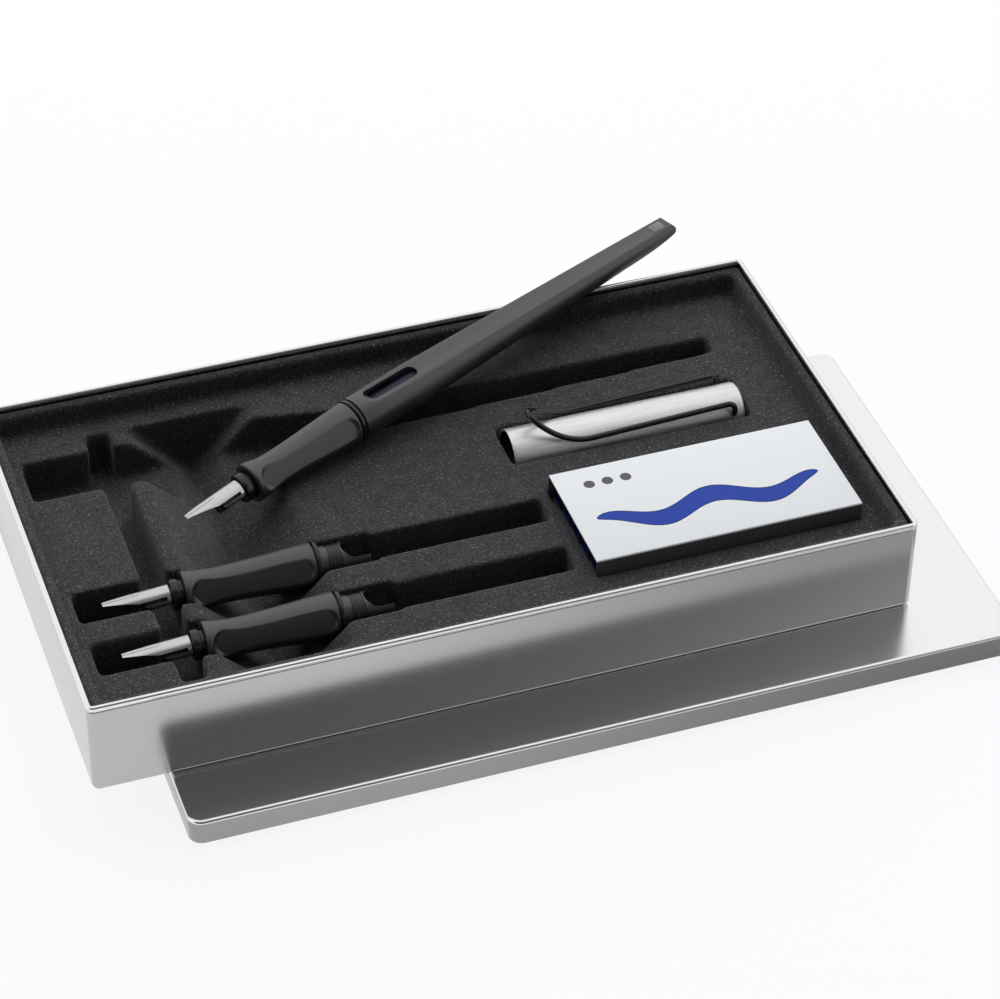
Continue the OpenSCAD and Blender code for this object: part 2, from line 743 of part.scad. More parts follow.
// Ink cartridge along +x from its mouth, with a recess for the nipple
module cartridge() {
    chamfer = cartridge_chamfer;
    body_end = cartridge_mouth + cartridge_body;
    color(ink_blue) along_axis() polygon([
        [nipple_radius + fit, 0],
        [cartridge_neck, 0],
        [cartridge_neck, cartridge_mouth - chamfer],
        [cartridge_radius, cartridge_mouth],
        [cartridge_radius, body_end - chamfer],
        [cartridge_neck, body_end],
        [cartridge_neck, cartridge_length - chamfer],
        [cartridge_neck - chamfer, cartridge_length],
        [0, cartridge_length],
        [0, nipple_length + 1],
        [nipple_radius + fit, nipple_length + 1]
    ]);
}

// Metal tube of the cap: open mouth, rounded shoulder and two holes for the clip
module cap_tube() {
    inner = cap_radius - cap_wall;
    color(aluminium) cap_frame() difference() {
        along_axis() {
            square([cap_radius, cap_length - cap_shoulder]);
            square([cap_radius - cap_shoulder, cap_length]);
            translate([cap_radius - cap_shoulder, cap_length - cap_shoulder]) circle(cap_shoulder);
        }
        axis_bar(inner, -past, cap_length - cap_end_wall);
        axis_bar(cap_end_hole, 0, cap_length + past);
        translate([peg_x, -cap_radius - past, peg_z]) rotate([-90, 0, 0])
            cylinder(r = wire_radius + running_fit, h = 2 * (cap_radius + past));
    }
}

// Inner cap that seals over the nib
module cap_liner() {
    outer = cap_radius - cap_wall - running_fit;
    end = peg_x - wire_radius - rest_gap;
    color(plastic_black) cap_frame() difference() {
        axis_bar(outer, liner_start, end);
        axis_bar(outer - liner_wall, liner_start - past, end - liner_wall);
    }
}

// Black button that fills the hole in the cap's closed end, with a flange behind the end wall
module cap_finial() {
    radius = cap_end_hole - running_fit;
    flange_at = cap_length - cap_end_wall;
    top = cap_length + finial_height;
    color(plastic_black) cap_frame() along_axis() polygon([
        [0, flange_at - finial_flange_width],
        [finial_flange, flange_at - finial_flange_width],
        [finial_flange, flange_at],
        [radius, flange_at],
        [radius, top - finial_height],
        [radius - finial_height, top],
        [0, top]
    ]);
}

// Half of the clip's path on the side given: peg, foot, bend and leg
function clip_half(side) = concat(
    [[peg_x, side * peg_inner, peg_z], [peg_x, side * (foot_y - foot_bend), peg_z]],
    [for (a = [22.5 : 22.5 : 67.5])
        [peg_x, side * (foot_y - foot_bend + foot_bend * sin(a)), peg_z + foot_bend * (1 - cos(a))]],
    [[peg_x, side * foot_y, peg_z + foot_bend]],
    [for (a = [0 : 18 : 90]) let (t = ease(a / 90))
        [peg_x - clip_bend * (1 - cos(a)), side * (foot_y + (leg_y - foot_y) * t),
         leg_rear_z - clip_bend + clip_bend * sin(a)]],
    [for (i = [1 : 5]) let (t = i / 6)
        [peg_x - clip_bend + t * (leg_front_x - peg_x + clip_bend), side * leg_y,
         leg_rear_z + t * (leg_front_z - leg_rear_z)]]
);

// Loop that joins the two legs and turns up at its tip
function clip_loop() = [for (a = [0 : 10 : 180])
    [leg_front_x - loop_reach * sin(a), -leg_y * cos(a),
     leg_front_z + (clip_tip - leg_front_z) * pow(sin(a), 2)]];

function backwards(list) = [for (i = [len(list) - 1 : -1 : 0]) list[i]];

function unit(v) = v / norm(v);

// Ring of points round a path, square to it; no stretch of the clip runs along this reference
function wire_ring(path, i) =
    let (
        last = len(path) - 1,
        along = unit(path[min(i + 1, last)] - path[max(i - 1, 0)]),
        across = unit(cross(along, [0.5, 0, 0.87])),
        up = cross(along, across)
    )
    [for (k = [0 : wire_sides - 1]) let (a = 360 * k / wire_sides)
        path[i] + wire_radius * (across * cos(a) + up * sin(a))];

// Round wire along a path, closed at both ends
module wire(path) {
    count = len(path);
    rings = [for (i = [0 : count - 1]) each wire_ring(path, i)];
    sides = [for (i = [0 : count - 2], k = [0 : wire_sides - 1])
        let (next = (k + 1) % wire_sides, low = i * wire_sides, high = low + wire_sides)
        each [[low + k, high + k, high + next], [low + k, high + next, low + next]]];
    ends = [
        [for (k = [0 : wire_sides - 1]) k],
        [for (k = [wire_sides - 1 : -1 : 0]) (count - 1) * wire_sides + k]
    ];
    polyhedron(rings, concat(sides, ends), convexity = 6);
}

// Sprung wire clip whose pegs turn in the cap
module cap_clip() {
    color(plastic_black) cap_frame() wire(concat(clip_half(-1), clip_loop(), backwards(clip_half(1))));
}

// Card sleeve, open at its left end
module carton_sleeve() {
    color(board_white) on_table(lid_height) translate([carton_left, carton_front, carton_z]) difference() {
        cube([carton_length, carton_width, carton_height]);
        translate([-past, card, card])
            cube([carton_length + past - card, carton_width - 2 * card, carton_height - 2 * card]);
    }
}

// One of the cartridges in the carton, side by side, mouths to the left
module carton_cartridge(number) {
    first = carton_width / 2 - (cartridge_count - 1) * cartridge_spacing / 2;
    on_table(lid_height)
        translate([carton_left + (carton_length - card - cartridge_length) / 2, carton_front + first
            + (number - 1) * cartridge_spacing, carton_z + card + running_fit + cartridge_radius])
            cartridge();
}

lid_shell();
tray_shell();
foam_insert();
pen_frame() nib();  // pen_nib
pen_frame() feed();  // pen_feed
pen_frame() section();  // pen_section
pen_frame() seal_ring();  // pen_seal_ring
pen_frame() translate([cartridge_seat, 0, 0]) cartridge();  // pen_cartridge
pen_barrel();
pen_end_plate();
for (spare = [["spare_a", spare_a_y], ["spare_b", spare_b_y]]) {
    spare_frame(spare[1]) nib();
    spare_frame(spare[1]) feed();
    spare_frame(spare[1]) section();
    spare_frame(spare[1]) seal_ring();
}
cap_tube();
cap_liner();
cap_finial();
cap_clip();
carton_sleeve();
for (number = [1 : 5])
    carton_cartridge(number);
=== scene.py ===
"""Looks of a calligraphy set box: tin, foam bed, pen, spare nib sections, cap and ink carton."""

import json
from math import atan2, cos, pi, radians, sin

import bmesh
import bpy
import numpy as np
from mathutils import Matrix, Vector


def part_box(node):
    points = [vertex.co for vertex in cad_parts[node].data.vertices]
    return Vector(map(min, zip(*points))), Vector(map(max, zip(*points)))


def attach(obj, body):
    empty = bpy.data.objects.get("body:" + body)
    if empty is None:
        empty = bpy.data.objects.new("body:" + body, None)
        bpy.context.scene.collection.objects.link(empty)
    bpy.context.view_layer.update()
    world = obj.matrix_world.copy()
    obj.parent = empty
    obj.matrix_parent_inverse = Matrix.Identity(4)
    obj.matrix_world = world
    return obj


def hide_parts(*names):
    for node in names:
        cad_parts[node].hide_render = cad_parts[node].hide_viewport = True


bl_info = {
    "name": "Calligraphy Set Box",
    "version": (1, 0, 0),
    "blender": (4, 5, 0),
    "location": "View3D > Sidebar > Calligraphy Set",
    "description": "Builds the looks of a calligraphy set box round its CAD frame",
    "category": "Object",
}

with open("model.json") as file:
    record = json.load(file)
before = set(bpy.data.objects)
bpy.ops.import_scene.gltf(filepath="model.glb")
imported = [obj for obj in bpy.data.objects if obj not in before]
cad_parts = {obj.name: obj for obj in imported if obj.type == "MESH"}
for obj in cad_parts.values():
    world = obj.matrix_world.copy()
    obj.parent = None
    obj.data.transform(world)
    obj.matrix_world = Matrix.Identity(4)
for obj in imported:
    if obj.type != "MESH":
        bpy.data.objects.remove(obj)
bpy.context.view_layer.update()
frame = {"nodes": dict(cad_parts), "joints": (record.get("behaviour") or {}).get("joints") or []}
NODES = frame["nodes"]
JOINTS = {joint["name"]: joint for joint in frame["joints"]}
MM = 0.001


# Places read from the frame

def corners(node):
    """Lowest and highest corner of a CAD node, in metres."""
    low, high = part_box(node)
    return np.array(low), np.array(high)


def middle(node):
    """Middle of a CAD node's box, in metres."""
    low, high = corners(node)
    return (low + high) / 2


def frame_matrix(origin, x_axis=(1, 0, 0)):
    """Matrix of a frame in millimetres: x along x_axis, y level, origin in metres."""
    x = np.array(x_axis, float)
    x /= np.linalg.norm(x)
    y = np.cross((0, 0, 1), x)
    y /= np.linalg.norm(y)
    matrix = np.eye(4)
    matrix[:3, :3] = np.stack([x, y, np.cross(x, y)], 1) * MM
    matrix[:3, 3] = origin
    return matrix


TRAY_LOW, TRAY_HIGH = corners("tray_shell")
LID_LOW, LID_HIGH = corners("lid_shell")
CAP_LOW, CAP_HIGH = corners("cap_tube")
CARTON_LOW, CARTON_HIGH = corners("carton_sleeve")
TRAY_FRAME = frame_matrix(TRAY_LOW)
PEN_FRAME = frame_matrix(middle("pen_seal_ring"), JOINTS["section_turn"]["axis"])
SPARE_FRAMES = {name: frame_matrix(middle(f"{name}_seal_ring")) for name in ("spare_a", "spare_b")}
CAP_FRAME = frame_matrix((CAP_LOW[0], *middle("cap_tube")[1:]))

# Sizes of the pieces in millimetres, as the CAD source has them
RIM_WIDTH = 1.4
RIM_HEIGHT = 1.7
SHEET = 0.8
TRAY_CORNER = 2.0
LID_CORNER = 3.7
RING_WIDTH = 1.1
RING_GROOVE = 0.45
GRIP_REAR = -RING_WIDTH / 2 - RING_GROOVE
LIP_AT = GRIP_REAR - 35.2
NECK_AT = LIP_AT - 3.4
BODY_RADIUS = 6.2
LIP_RADIUS = 5.7
WAIST_RADIUS = 5.0
WAIST_SHARE = 0.28
NECK_RADIUS = 4.15
SPIGOT_RADIUS = 5.0
TUBE_RADIUS = 4.3
TUBE_LENGTH = 14.2
PRONG_LENGTH = 7.4
NOTCH_WIDTH = 6.8
BORE_RADIUS = 3.6
FEED_RADIUS = 2.5
FACET_START = LIP_AT + 1.6
FACET_END = GRIP_REAR - 0.8
FACET_FRONT = 3.75
FACET_REAR = 5.2
FACET_WIDTH = 7.6
FACET_ANGLE = radians(63)
NIB_BASE = NECK_AT - 0.2
NIB_LENGTH = 17.7
NIB_RADIUS = 3.0
NIB_CENTRE = 0.1
NIB_PLATE = 0.3
NIB_ROOT = 1.0
NIB_SHOULDER = 8.5
NIB_HALF_WIDTH = 2.35
NIB_TIP_WIDTH = 1.5
NIB_SLIT = 0.08
NIB_FALL = atan2(1.3, NIB_LENGTH)
CAP_WALL = 0.45
CARD = 0.45

# The photograph's camera: its place from the tray's front left corner in metres, its angles in
# degrees, and its focal length in widths of the picture
CAMERA_PLACE = (-0.1172925, -0.6298875, 0.628875)
CAMERA_ANGLES = (-19.64, 39.98, 0.82)
CAMERA_FOCUS = 3.527
SENSOR = 36.0


# Surfaces on grids

def grid(rows, columns, wrap_columns=True, wrap_rows=False):
    """Quads between neighbouring points of a grid; a wrapped side joins its last line to its first."""
    r, c = np.meshgrid(np.arange(rows - (not wrap_rows)), np.arange(columns - (not wrap_columns)),
                       indexing="ij")
    r_next, c_next = (r + 1) % rows, (c + 1) % columns
    return np.stack([r * columns + c, r * columns + c_next, r_next * columns + c_next,
                     r_next * columns + c], -1).reshape(-1, 4)


def arc(centre, radius, start, end, steps=6):
    """Points of a circular arc, by its centre, radius and angles in degrees."""
    angle = np.radians(np.linspace(start, end, steps + 1))
    return np.stack([centre[0] + radius * np.cos(angle), centre[1] + radius * np.sin(angle)], 1)


def chain(*stretches):
    """One profile from points and stretches of points."""
    return np.concatenate([np.atleast_2d(np.array(stretch, float)) for stretch in stretches])


def ease(t):
    """Half a cosine wave from 0 to 1 as t goes from 0 to 1."""
    return (1 - np.cos(pi * np.clip(t, 0, 1))) / 2


def walled_shell(profile, half_x, half_y, corner, steps=10):
    """Carries a profile of (inset, height) points round a rectangle with round corners.
    At inset d the path's corner radius is corner - d, and further in the path is a plain rectangle."""
    turn = np.radians(np.concatenate([np.linspace(a, a + 90, steps + 1) for a in (0, 90, 180, 270)]))
    side_x = np.repeat([1, -1, -1, 1], steps + 1)
    side_y = np.repeat([1, 1, -1, -1], steps + 1)
    inset = profile[:, :1]
    radius = np.maximum(corner - inset, 0)
    x = side_x * (half_x - np.maximum(inset, corner)) + radius * np.cos(turn)
    y = side_y * (half_y - np.maximum(inset, corner)) + radius * np.sin(turn)
    z = np.broadcast_to(profile[:, 1:], x.shape)
    return np.stack([x, y, z], -1).reshape(-1, 3), grid(len(profile), len(turn))


def revolved(profile, steps=96):
    """Turns a profile of (place, radius) points about the x axis: y = -r sin t, z = r cos t."""
    turn = np.arange(steps) * 2 * pi / steps
    place, radius = profile[:, :1], profile[:, 1:]
    x = np.broadcast_to(place, (len(profile), steps))
    return (np.stack([x, -radius * np.sin(turn), radius * np.cos(turn)], -1).reshape(-1, 3),
            grid(len(profile), steps))


def tube(path, radius, sides=20):
    """Carries a circle along a path; the circle's axes are the path's direction crossed twice."""
    along = np.gradient(path, axis=0)
    along /= np.linalg.norm(along, axis=1)[:, None]
    across = np.cross(along, (0.5, 0, 0.87))
    across /= np.linalg.norm(across, axis=1)[:, None]
    up = np.cross(along, across)
    turn = np.arange(sides) * 2 * pi / sides
    ring = across[:, None] * np.cos(turn)[:, None] + up[:, None] * np.sin(turn)[:, None]
    body = path[:, None] + radius * ring
    ends = np.stack([np.repeat(path[:1], sides, 0), np.repeat(path[-1:], sides, 0)])
    return np.concatenate([ends[:1], body, ends[1:]]).reshape(-1, 3), grid(len(path) + 2, sides)


def thick_sheet(outer, inner):
    """Closed solid between two equal grids of points, joined round their border."""
    rows, columns = outer.shape[:2]
    count = rows * columns
    face = grid(rows, columns, wrap_columns=False)
    index = np.arange(count).reshape(rows, columns)
    border = np.concatenate([index[0, :-1], index[:-1, -1], index[-1, :0:-1], index[:0:-1, 0]])
    ahead = np.roll(border, -1)
    rim = np.stack([border, border + count, ahead + count, ahead], 1)
    return (np.concatenate([outer.reshape(-1, 3), inner.reshape(-1, 3)]),
            np.concatenate([face, face[:, ::-1] + count, rim]))


def outward(points, quads):
    """Quads turned round if the solid's signed volume is below zero."""
    a, b, c, d = (points[quads[:, k]] for k in range(4))
    volume = (a * np.cross(b, c)).sum() + (a * np.cross(c, d)).sum()
    return quads[:, ::-1] if volume < 0 else quads


def shade(mesh, crease):
    """Smooth shading, sharp where faces meet at more than the crease angle."""
    mesh.shade_smooth()
    mesh.set_sharp_from_angle(angle=radians(crease))


def piece(name, parts, matrix, materials, body, nodes, crease=40):
    """One object from closed parts of (points, quads[, material numbers]), put in its place,
    that rides on a body and stands for CAD nodes."""
    points, quads, numbers, count = [], [], [], 0
    for part in parts:
        placed = part[0] @ matrix[:3, :3].T + matrix[:3, 3]
        turned = outward(placed - placed.mean(0), part[1])
        points.append(placed)
        quads.append(turned + count)
        numbers.append(part[2] if len(part) > 2 else np.zeros(len(turned), int))
        count += len(placed)
    mesh = bpy.data.meshes.new(name)
    mesh.from_pydata(np.concatenate(points).tolist(), [], np.concatenate(quads).tolist())
    for material in materials:
        mesh.materials.append(material)
    mesh.polygons.foreach_set("material_index", np.concatenate(numbers).astype(np.int32))
    close(mesh)
    shade(mesh, crease)
    return settle(bpy.data.objects.new(name, mesh), body, nodes)


def close(mesh, distance=2e-6, flat=None):
    """Merges points that lie together, such as the poles of a turned shape, and then drops faces with
    no area or, where an angle is given, makes flat faces whole."""
    shell = bmesh.new()
    shell.from_mesh(mesh)
    bmesh.ops.remove_doubles(shell, verts=shell.verts, dist=distance)
    if flat is None:
        bmesh.ops.dissolve_degenerate(shell, edges=shell.edges, dist=distance / 4)
    else:
        bmesh.ops.dissolve_limit(shell, angle_limit=flat, verts=shell.verts, edges=shell.edges)
    shell.to_mesh(mesh)
    shell.free()


def settle(item, body, nodes):
    """Links an object, and ties it to its body and to the CAD nodes that it hides."""
    if item.name not in bpy.context.scene.collection.objects:
        bpy.context.scene.collection.objects.link(item)
    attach(item, body)
    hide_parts(*nodes)
    return item


def applied(item):
    """Mesh of an object with its modifiers applied."""
    graph = bpy.context.evaluated_depsgraph_get()
    mesh = bpy.data.meshes.new_from_object(item.evaluated_get(graph))
    old = item.data
    item.modifiers.clear()
    item.data = mesh
    mesh.name = item.name
    bpy.data.meshes.remove(old)
    return item


def merged_copy(node, name):
    """Object with a copy of a CAD node's mesh, its triangles joined and its flat faces made whole."""
    mesh = NODES[node].data.copy()
    mesh.name = name
    mesh.materials.clear()
    close(mesh, 1e-6, radians(0.3))
    item = bpy.data.objects.new(name, mesh)
    bpy.context.scene.collection.objects.link(item)
    return item


def softened(node, name, material, body, width, segments=3, angle=28):
    """A CAD node's own shape with its edges rounded by a bevel of the width given, in millimetres."""
    item = merged_copy(node, name)
    item.data.materials.append(material)
    bevel = item.modifiers.new("soft edges", "BEVEL")
    bevel.width = width * MM
    bevel.segments = segments
    bevel.limit_method = "ANGLE"
    bevel.angle_limit = radians(angle)
    bevel.use_clamp_overlap = True
    applied(item)
    shade(item.data, 32)
    return settle(item, body, [node])


def dress(node, material):
    """Gives a CAD node that is shown as it is its material."""
    NODES[node].data.materials.clear()
    NODES[node].data.materials.append(material)


# Materials

class Finish:
    """A Principled material and short ways to add nodes to it."""

    def __init__(self, name, color, roughness, metallic=0.0, **sockets):
        self.material = bpy.data.materials.new(name)
        self.material.use_nodes = True
        self.tree = self.material.node_tree
        self.shader = self.tree.nodes["Principled BSDF"]
        sockets |= {"Base_Color": (*color, 1), "Roughness": roughness, "Metallic": metallic}
        for socket, value in sockets.items():
            self.shader.inputs[socket.replace("_", " ")].default_value = value

    def add(self, kind, **values):
        """A node with its settings."""
        node = self.tree.nodes.new(kind)
        for key, value in values.items():
            setattr(node, key, value)
        return node

    def link(self, output, target):
        self.tree.links.new(output, target)

    def coordinates(self, scale=(1, 1, 1), location=(0, 0, 0)):
        """Object coordinates, scaled and then moved."""
        source = self.add("ShaderNodeTexCoord")
        mapping = self.add("ShaderNodeMapping")
        mapping.inputs["Scale"].default_value = scale
        mapping.inputs["Location"].default_value = location
        self.link(source.outputs["Object"], mapping.inputs["Vector"])
        return mapping.outputs["Vector"]

    def noise(self, scale, detail=2.0, stretch=(1, 1, 1), roughness=0.5):
        """Noise on object coordinates, with features of about 1 / scale metres."""
        node = self.add("ShaderNodeTexNoise")
        node.inputs["Scale"].default_value = scale
        node.inputs["Detail"].default_value = detail
        node.inputs["Roughness"].default_value = roughness
        self.link(self.coordinates(stretch), node.inputs["Vector"])
        return node.outputs["Fac"]

    def math(self, operation, *values):
        """A Math node on numbers or outputs."""
        node = self.add("ShaderNodeMath", operation=operation)
        for k, value in enumerate(values):
            if isinstance(value, (int, float)):
                node.inputs[k].default_value = value
            else:
                self.link(value, node.inputs[k])
        return node.outputs[0]

    def step(self, value, low, high, to_low=0.0, to_high=1.0):
        """Maps a value from low..high to to_low..to_high, smoothly, and holds it outside."""
        node = self.add("ShaderNodeMapRange", interpolation_type="SMOOTHSTEP")
        for socket, number in (("From Min", low), ("From Max", high), ("To Min", to_low),
                               ("To Max", to_high)):
            node.inputs[socket].default_value = number
        self.link(value, node.inputs["Value"])
        return node.outputs["Result"]

    def mix(self, factor, first, second):
        """Mix of two colours, each a colour or an output."""
        node = self.add("ShaderNodeMix", data_type="RGBA")
        self.link(factor, node.inputs["Factor"])
        for socket, value in ((6, first), (7, second)):
            if isinstance(value, tuple):
                node.inputs[socket].default_value = (*value[:3], 1)
            else:
                self.link(value, node.inputs[socket])
        return node.outputs[2]

    def color(self, output):
        self.link(output, self.shader.inputs["Base Color"])

    def roughness(self, output):
        self.link(output, self.shader.inputs["Roughness"])

    def bump(self, height, distance):
        """Relief of the height given, in metres."""
        node = self.add("ShaderNodeBump")
        node.inputs["Strength"].default_value = 1.0
        node.inputs["Distance"].default_value = distance
        self.link(height, node.inputs["Height"])
        self.link(node.outputs["Normal"], self.shader.inputs["Normal"])

    def split(self, vector):
        """The three coordinates of a vector."""
        node = self.add("ShaderNodeSeparateXYZ")
        self.link(vector, node.inputs[0])
        return node.outputs


def scaled(color, factor):
    """A colour times a factor, held under 1."""
    return tuple(min(c * factor, 1.0) for c in color)


def brushed_steel(name, wall, rim, rim_from, stretch, roughness):
    """Satin sheet: fine brush streaks along the axis with the small stretch. Below the height given the
    sheet takes the darker wall colour, a painted shade for the darker reflections of tray wall and lid
    skirt; above it the rim or lid top keeps the metal's own brighter colour."""
    finish = Finish(name, wall, roughness, 1.0)
    streak = finish.noise(2000, 3.0, stretch, 0.6)
    cloud = finish.noise(14, 2.0)
    # The wall colour is the metal's colour darkened as painted shade; streaks and clouds vary it at
    # random.
    painted_shade_wall = finish.mix(finish.step(streak, 0.25, 0.75), scaled(wall, 0.975), scaled(wall, 1.025))
    painted_shade_wall = finish.mix(finish.step(cloud, 0.3, 0.7), painted_shade_wall, wall)
    # Painted shade below the height given, the metal's own colour above it.
    height = finish.split(finish.coordinates())[2]
    above = finish.step(height, rim_from - 0.00015, rim_from + 0.00015)
    finish.color(finish.mix(above, painted_shade_wall, rim))
    finish.roughness(finish.step(streak, 0.2, 0.8, roughness - 0.01, roughness + 0.015))
    finish.bump(streak, 0.0000005)
    return finish.material


def moulded_foam(name, base, fleck):
    """Matt moulded foam: dark cells with fine light flecks and a soft grain."""
    finish = Finish(name, base, 0.95, 0.0, Specular_IOR_Level=0.15, Sheen_Weight=0.12,
                    Sheen_Roughness=0.6)
    grain = finish.noise(1500, 3.0, roughness=0.7)
    cloud = finish.noise(220, 2.0)
    tone = finish.mix(finish.step(cloud, 0.3, 0.7), scaled(base, 0.82), scaled(base, 1.15))
    pores = finish.mix(finish.step(grain, 0.28, 0.5), scaled(base, 0.3), tone)
    finish.color(finish.mix(finish.step(grain, 0.54, 0.8), pores, fleck))
    finish.bump(grain, 0.00025)
    return finish.material


def moulded_plastic(name, base, roughness, grain=1.0, gloss=0.5):
    """Moulded plastic with a very fine spark-eroded grain."""
    finish = Finish(name, base, roughness, 0.0, Specular_IOR_Level=gloss)
    fine = finish.noise(5200, 2.0)
    wide = finish.noise(90, 2.0)
    finish.color(finish.mix(finish.step(wide, 0.3, 0.7), scaled(base, 0.92), scaled(base, 1.08)))
    finish.roughness(finish.step(wide, 0.3, 0.7, roughness - 0.03, roughness + 0.03))
    finish.bump(fine, 0.00001 * grain)
    return finish.material


def polished_metal(name, base, roughness):
    """Bright metal with faint lengthwise polishing marks."""
    finish = Finish(name, base, roughness, 1.0)
    marks = finish.noise(1400, 2.0, (0.06, 1, 1))
    finish.color(finish.mix(finish.step(marks, 0.3, 0.7), scaled(base, 0.92), scaled(base, 1.06)))
    finish.roughness(finish.step(marks, 0.3, 0.7, roughness - 0.03, roughness + 0.05))
    finish.bump(marks, 0.000008)
    return finish.material


def ink_plastic(name, base):
    """Glossy plastic with blue ink behind it."""
    finish = Finish(name, base, 0.22, 0.0, Coat_Weight=0.5, Coat_Roughness=0.08)
    swirl = finish.noise(160, 2.0)
    finish.color(finish.mix(finish.step(swirl, 0.3, 0.7), scaled(base, 0.8), scaled(base, 1.2)))
    return finish.material


def printed_card(name, white, side, ink, grey):
    """Coated board: white top with a waving ink-blue ribbon and three grey discs, dark sides."""
    low, high = CARTON_LOW, CARTON_HIGH
    finish = Finish(name, white, 0.6, 0.0, Specular_IOR_Level=0.2)
    x, y, z = finish.split(finish.coordinates((1 / MM,) * 3, tuple(-low / MM)))
    length, width, height = (high - low) / MM
    wave = finish.math("SINE", finish.math("MULTIPLY", x, 2 * pi / 31))
    centre = finish.math("ADD", finish.math("MULTIPLY", wave, 2.6), width * 0.37)
    middle_x = finish.math("DIVIDE", finish.math("SUBTRACT", x, length / 2), length * 0.42)
    taper = finish.math("SQRT", finish.math("MAXIMUM", finish.math(
        "SUBTRACT", 1.0, finish.math("POWER", finish.math("ABSOLUTE", middle_x), 2.6)), 0.0))
    away = finish.math("ABSOLUTE", finish.math("SUBTRACT", y, centre))
    inside = finish.math("SUBTRACT", finish.math("MULTIPLY", taper, 3.4), away)
    ribbon = finish.step(inside, -0.05, 0.05)
    edge = finish.step(inside, 0.35, 0.45)
    paper = finish.mix(finish.step(finish.noise(700, 2.0), 0.3, 0.7), scaled(white, 0.985), white)
    printed = finish.mix(ribbon, paper, scaled(ink, 0.55))
    printed = finish.mix(edge, printed, ink)
    discs = None
    for number in range(3):
        dx = finish.math("SUBTRACT", x, 9.0 + 5.2 * number)
        dy = finish.math("SUBTRACT", y, width - 7.2)
        distance = finish.math("SQRT", finish.math(
            "ADD", finish.math("MULTIPLY", dx, dx), finish.math("MULTIPLY", dy, dy)))
        disc = finish.step(distance, 1.5, 1.6, 1.0, 0.0)
        discs = disc if discs is None else finish.math("ADD", discs, disc)
    printed = finish.mix(discs, printed, grey)
    top = finish.step(z, height - 0.5, height - 0.4)
    finish.color(finish.mix(top, side, printed))
    finish.bump(finish.noise(2600, 2.0), 0.000006)
    return finish.material


# Settings of the pieces

def color_setting(name, description, default):
    """A colour that the user may change."""
    return bpy.props.FloatVectorProperty(name=name, description=description, default=default,
                                         subtype="COLOR", size=3, min=0.0, max=1.0)


def length_setting(name, description, default, low=0.0, high=0.01):
    """A length in metres that the user may change."""
    return bpy.props.FloatProperty(name=name, description=description, default=default,
                                   unit="LENGTH", min=low, max=high, precision=5)


def share_setting(name, description, default):
    """A share from 0 to 1 that the user may change."""
    return bpy.props.FloatProperty(name=name, description=description, default=default,
                                   subtype="FACTOR", min=0.0, max=1.0)


class TinSettings(bpy.types.PropertyGroup):
    """Sheet metal of tray and lid."""
    # Wall and skirt are the metal's colour darkened, a painted shade for their darker reflections; rim
    # and lid keep the metal's own colour.
    wall: color_setting("Wall", "Colour of the tray's walls", (0.50, 0.50, 0.505))
    rim: color_setting("Rim", "Colour of the polished rim", (0.84, 0.84, 0.84))
    lid: color_setting("Lid", "Colour of the lid's top", (0.88, 0.88, 0.88))
    # The skirt's colour is painted shade on the lid's metal.
    skirt: color_setting("Skirt", "Colour of the lid's skirt", (0.34, 0.335, 0.33))
    roughness: share_setting("Roughness", "Roughness of the brushed sheet", 0.19)
    lid_edge: length_setting("Lid edge", "Radius of the lid's top edge", 0.0009)


class FoamSettings(bpy.types.PropertyGroup):
    """Moulded foam bed."""
    base: color_setting("Foam", "Colour of the foam", (0.036, 0.0373, 0.041))
    fleck: color_setting("Flecks", "Colour of the light flecks", (0.260, 0.265, 0.275))
    cell: length_setting("Cell", "Size of the cells that the surface is made of", 0.0008, 0.0005)
    grain: length_setting("Grain", "Height of the surface's grain", 0.00005)


class PenSettings(bpy.types.PropertyGroup):
    """Plastic and steel of pen and spare sections."""
    plastic: color_setting("Plastic", "Colour of grip and barrel", (0.022, 0.0225, 0.024))
    neck: color_setting("Neck", "Colour of the glossy neck and ring", (0.012, 0.012, 0.013))
    steel: color_setting("Steel", "Colour of the nibs", (0.62, 0.62, 0.61))
    plate: color_setting("Plate", "Colour of the plate at the barrel's end", (0.16, 0.16, 0.17))
    ink: color_setting("Ink", "Colour of the cartridges", (0.010, 0.018, 0.12))
    thread: length_setting("Thread", "Distance between two ridges of the thread", 0.00078, 0.0004)


class CapSettings(bpy.types.PropertyGroup):
    """Metal cap and its wire clip."""
    metal: color_setting("Metal", "Colour of the cap", (0.84, 0.84, 0.845))
    lining: color_setting("Lining", "Colour inside the cap", (0.012, 0.012, 0.013))
    wire: color_setting("Wire", "Colour of the clip", (0.006, 0.006, 0.0065))
    wire_radius: length_setting("Wire radius", "Radius of the clip's wire", 0.0008, 0.0004)


class CartonSettings(bpy.types.PropertyGroup):
    """Ink carton and its print."""
    board: color_setting("Board", "Colour of the coated board", (0.81, 0.83, 0.85))
    side: color_setting("Sides", "Colour of the printed sides", (0.11, 0.112, 0.118))
    ink: color_setting("Ribbon", "Colour of the printed ribbon", (0.018, 0.055, 0.36))
    grey: color_setting("Discs", "Colour of the printed discs", (0.10, 0.10, 0.11))


class StageSettings(bpy.types.PropertyGroup):
    """Floor, light and camera."""
    floor: color_setting("Floor", "Colour of the floor", (0.90, 0.90, 0.90))
    fill: bpy.props.FloatProperty(name="Fill", description="Strength of the light all round",
                                  default=0.42, min=0.0, max=2.0)
    key: bpy.props.FloatProperty(name="Key", description="Power of the large lamp at the back",
                                 default=35.0, min=0.0, max=100.0, unit="POWER")


# Shapes of the pieces, in millimetres

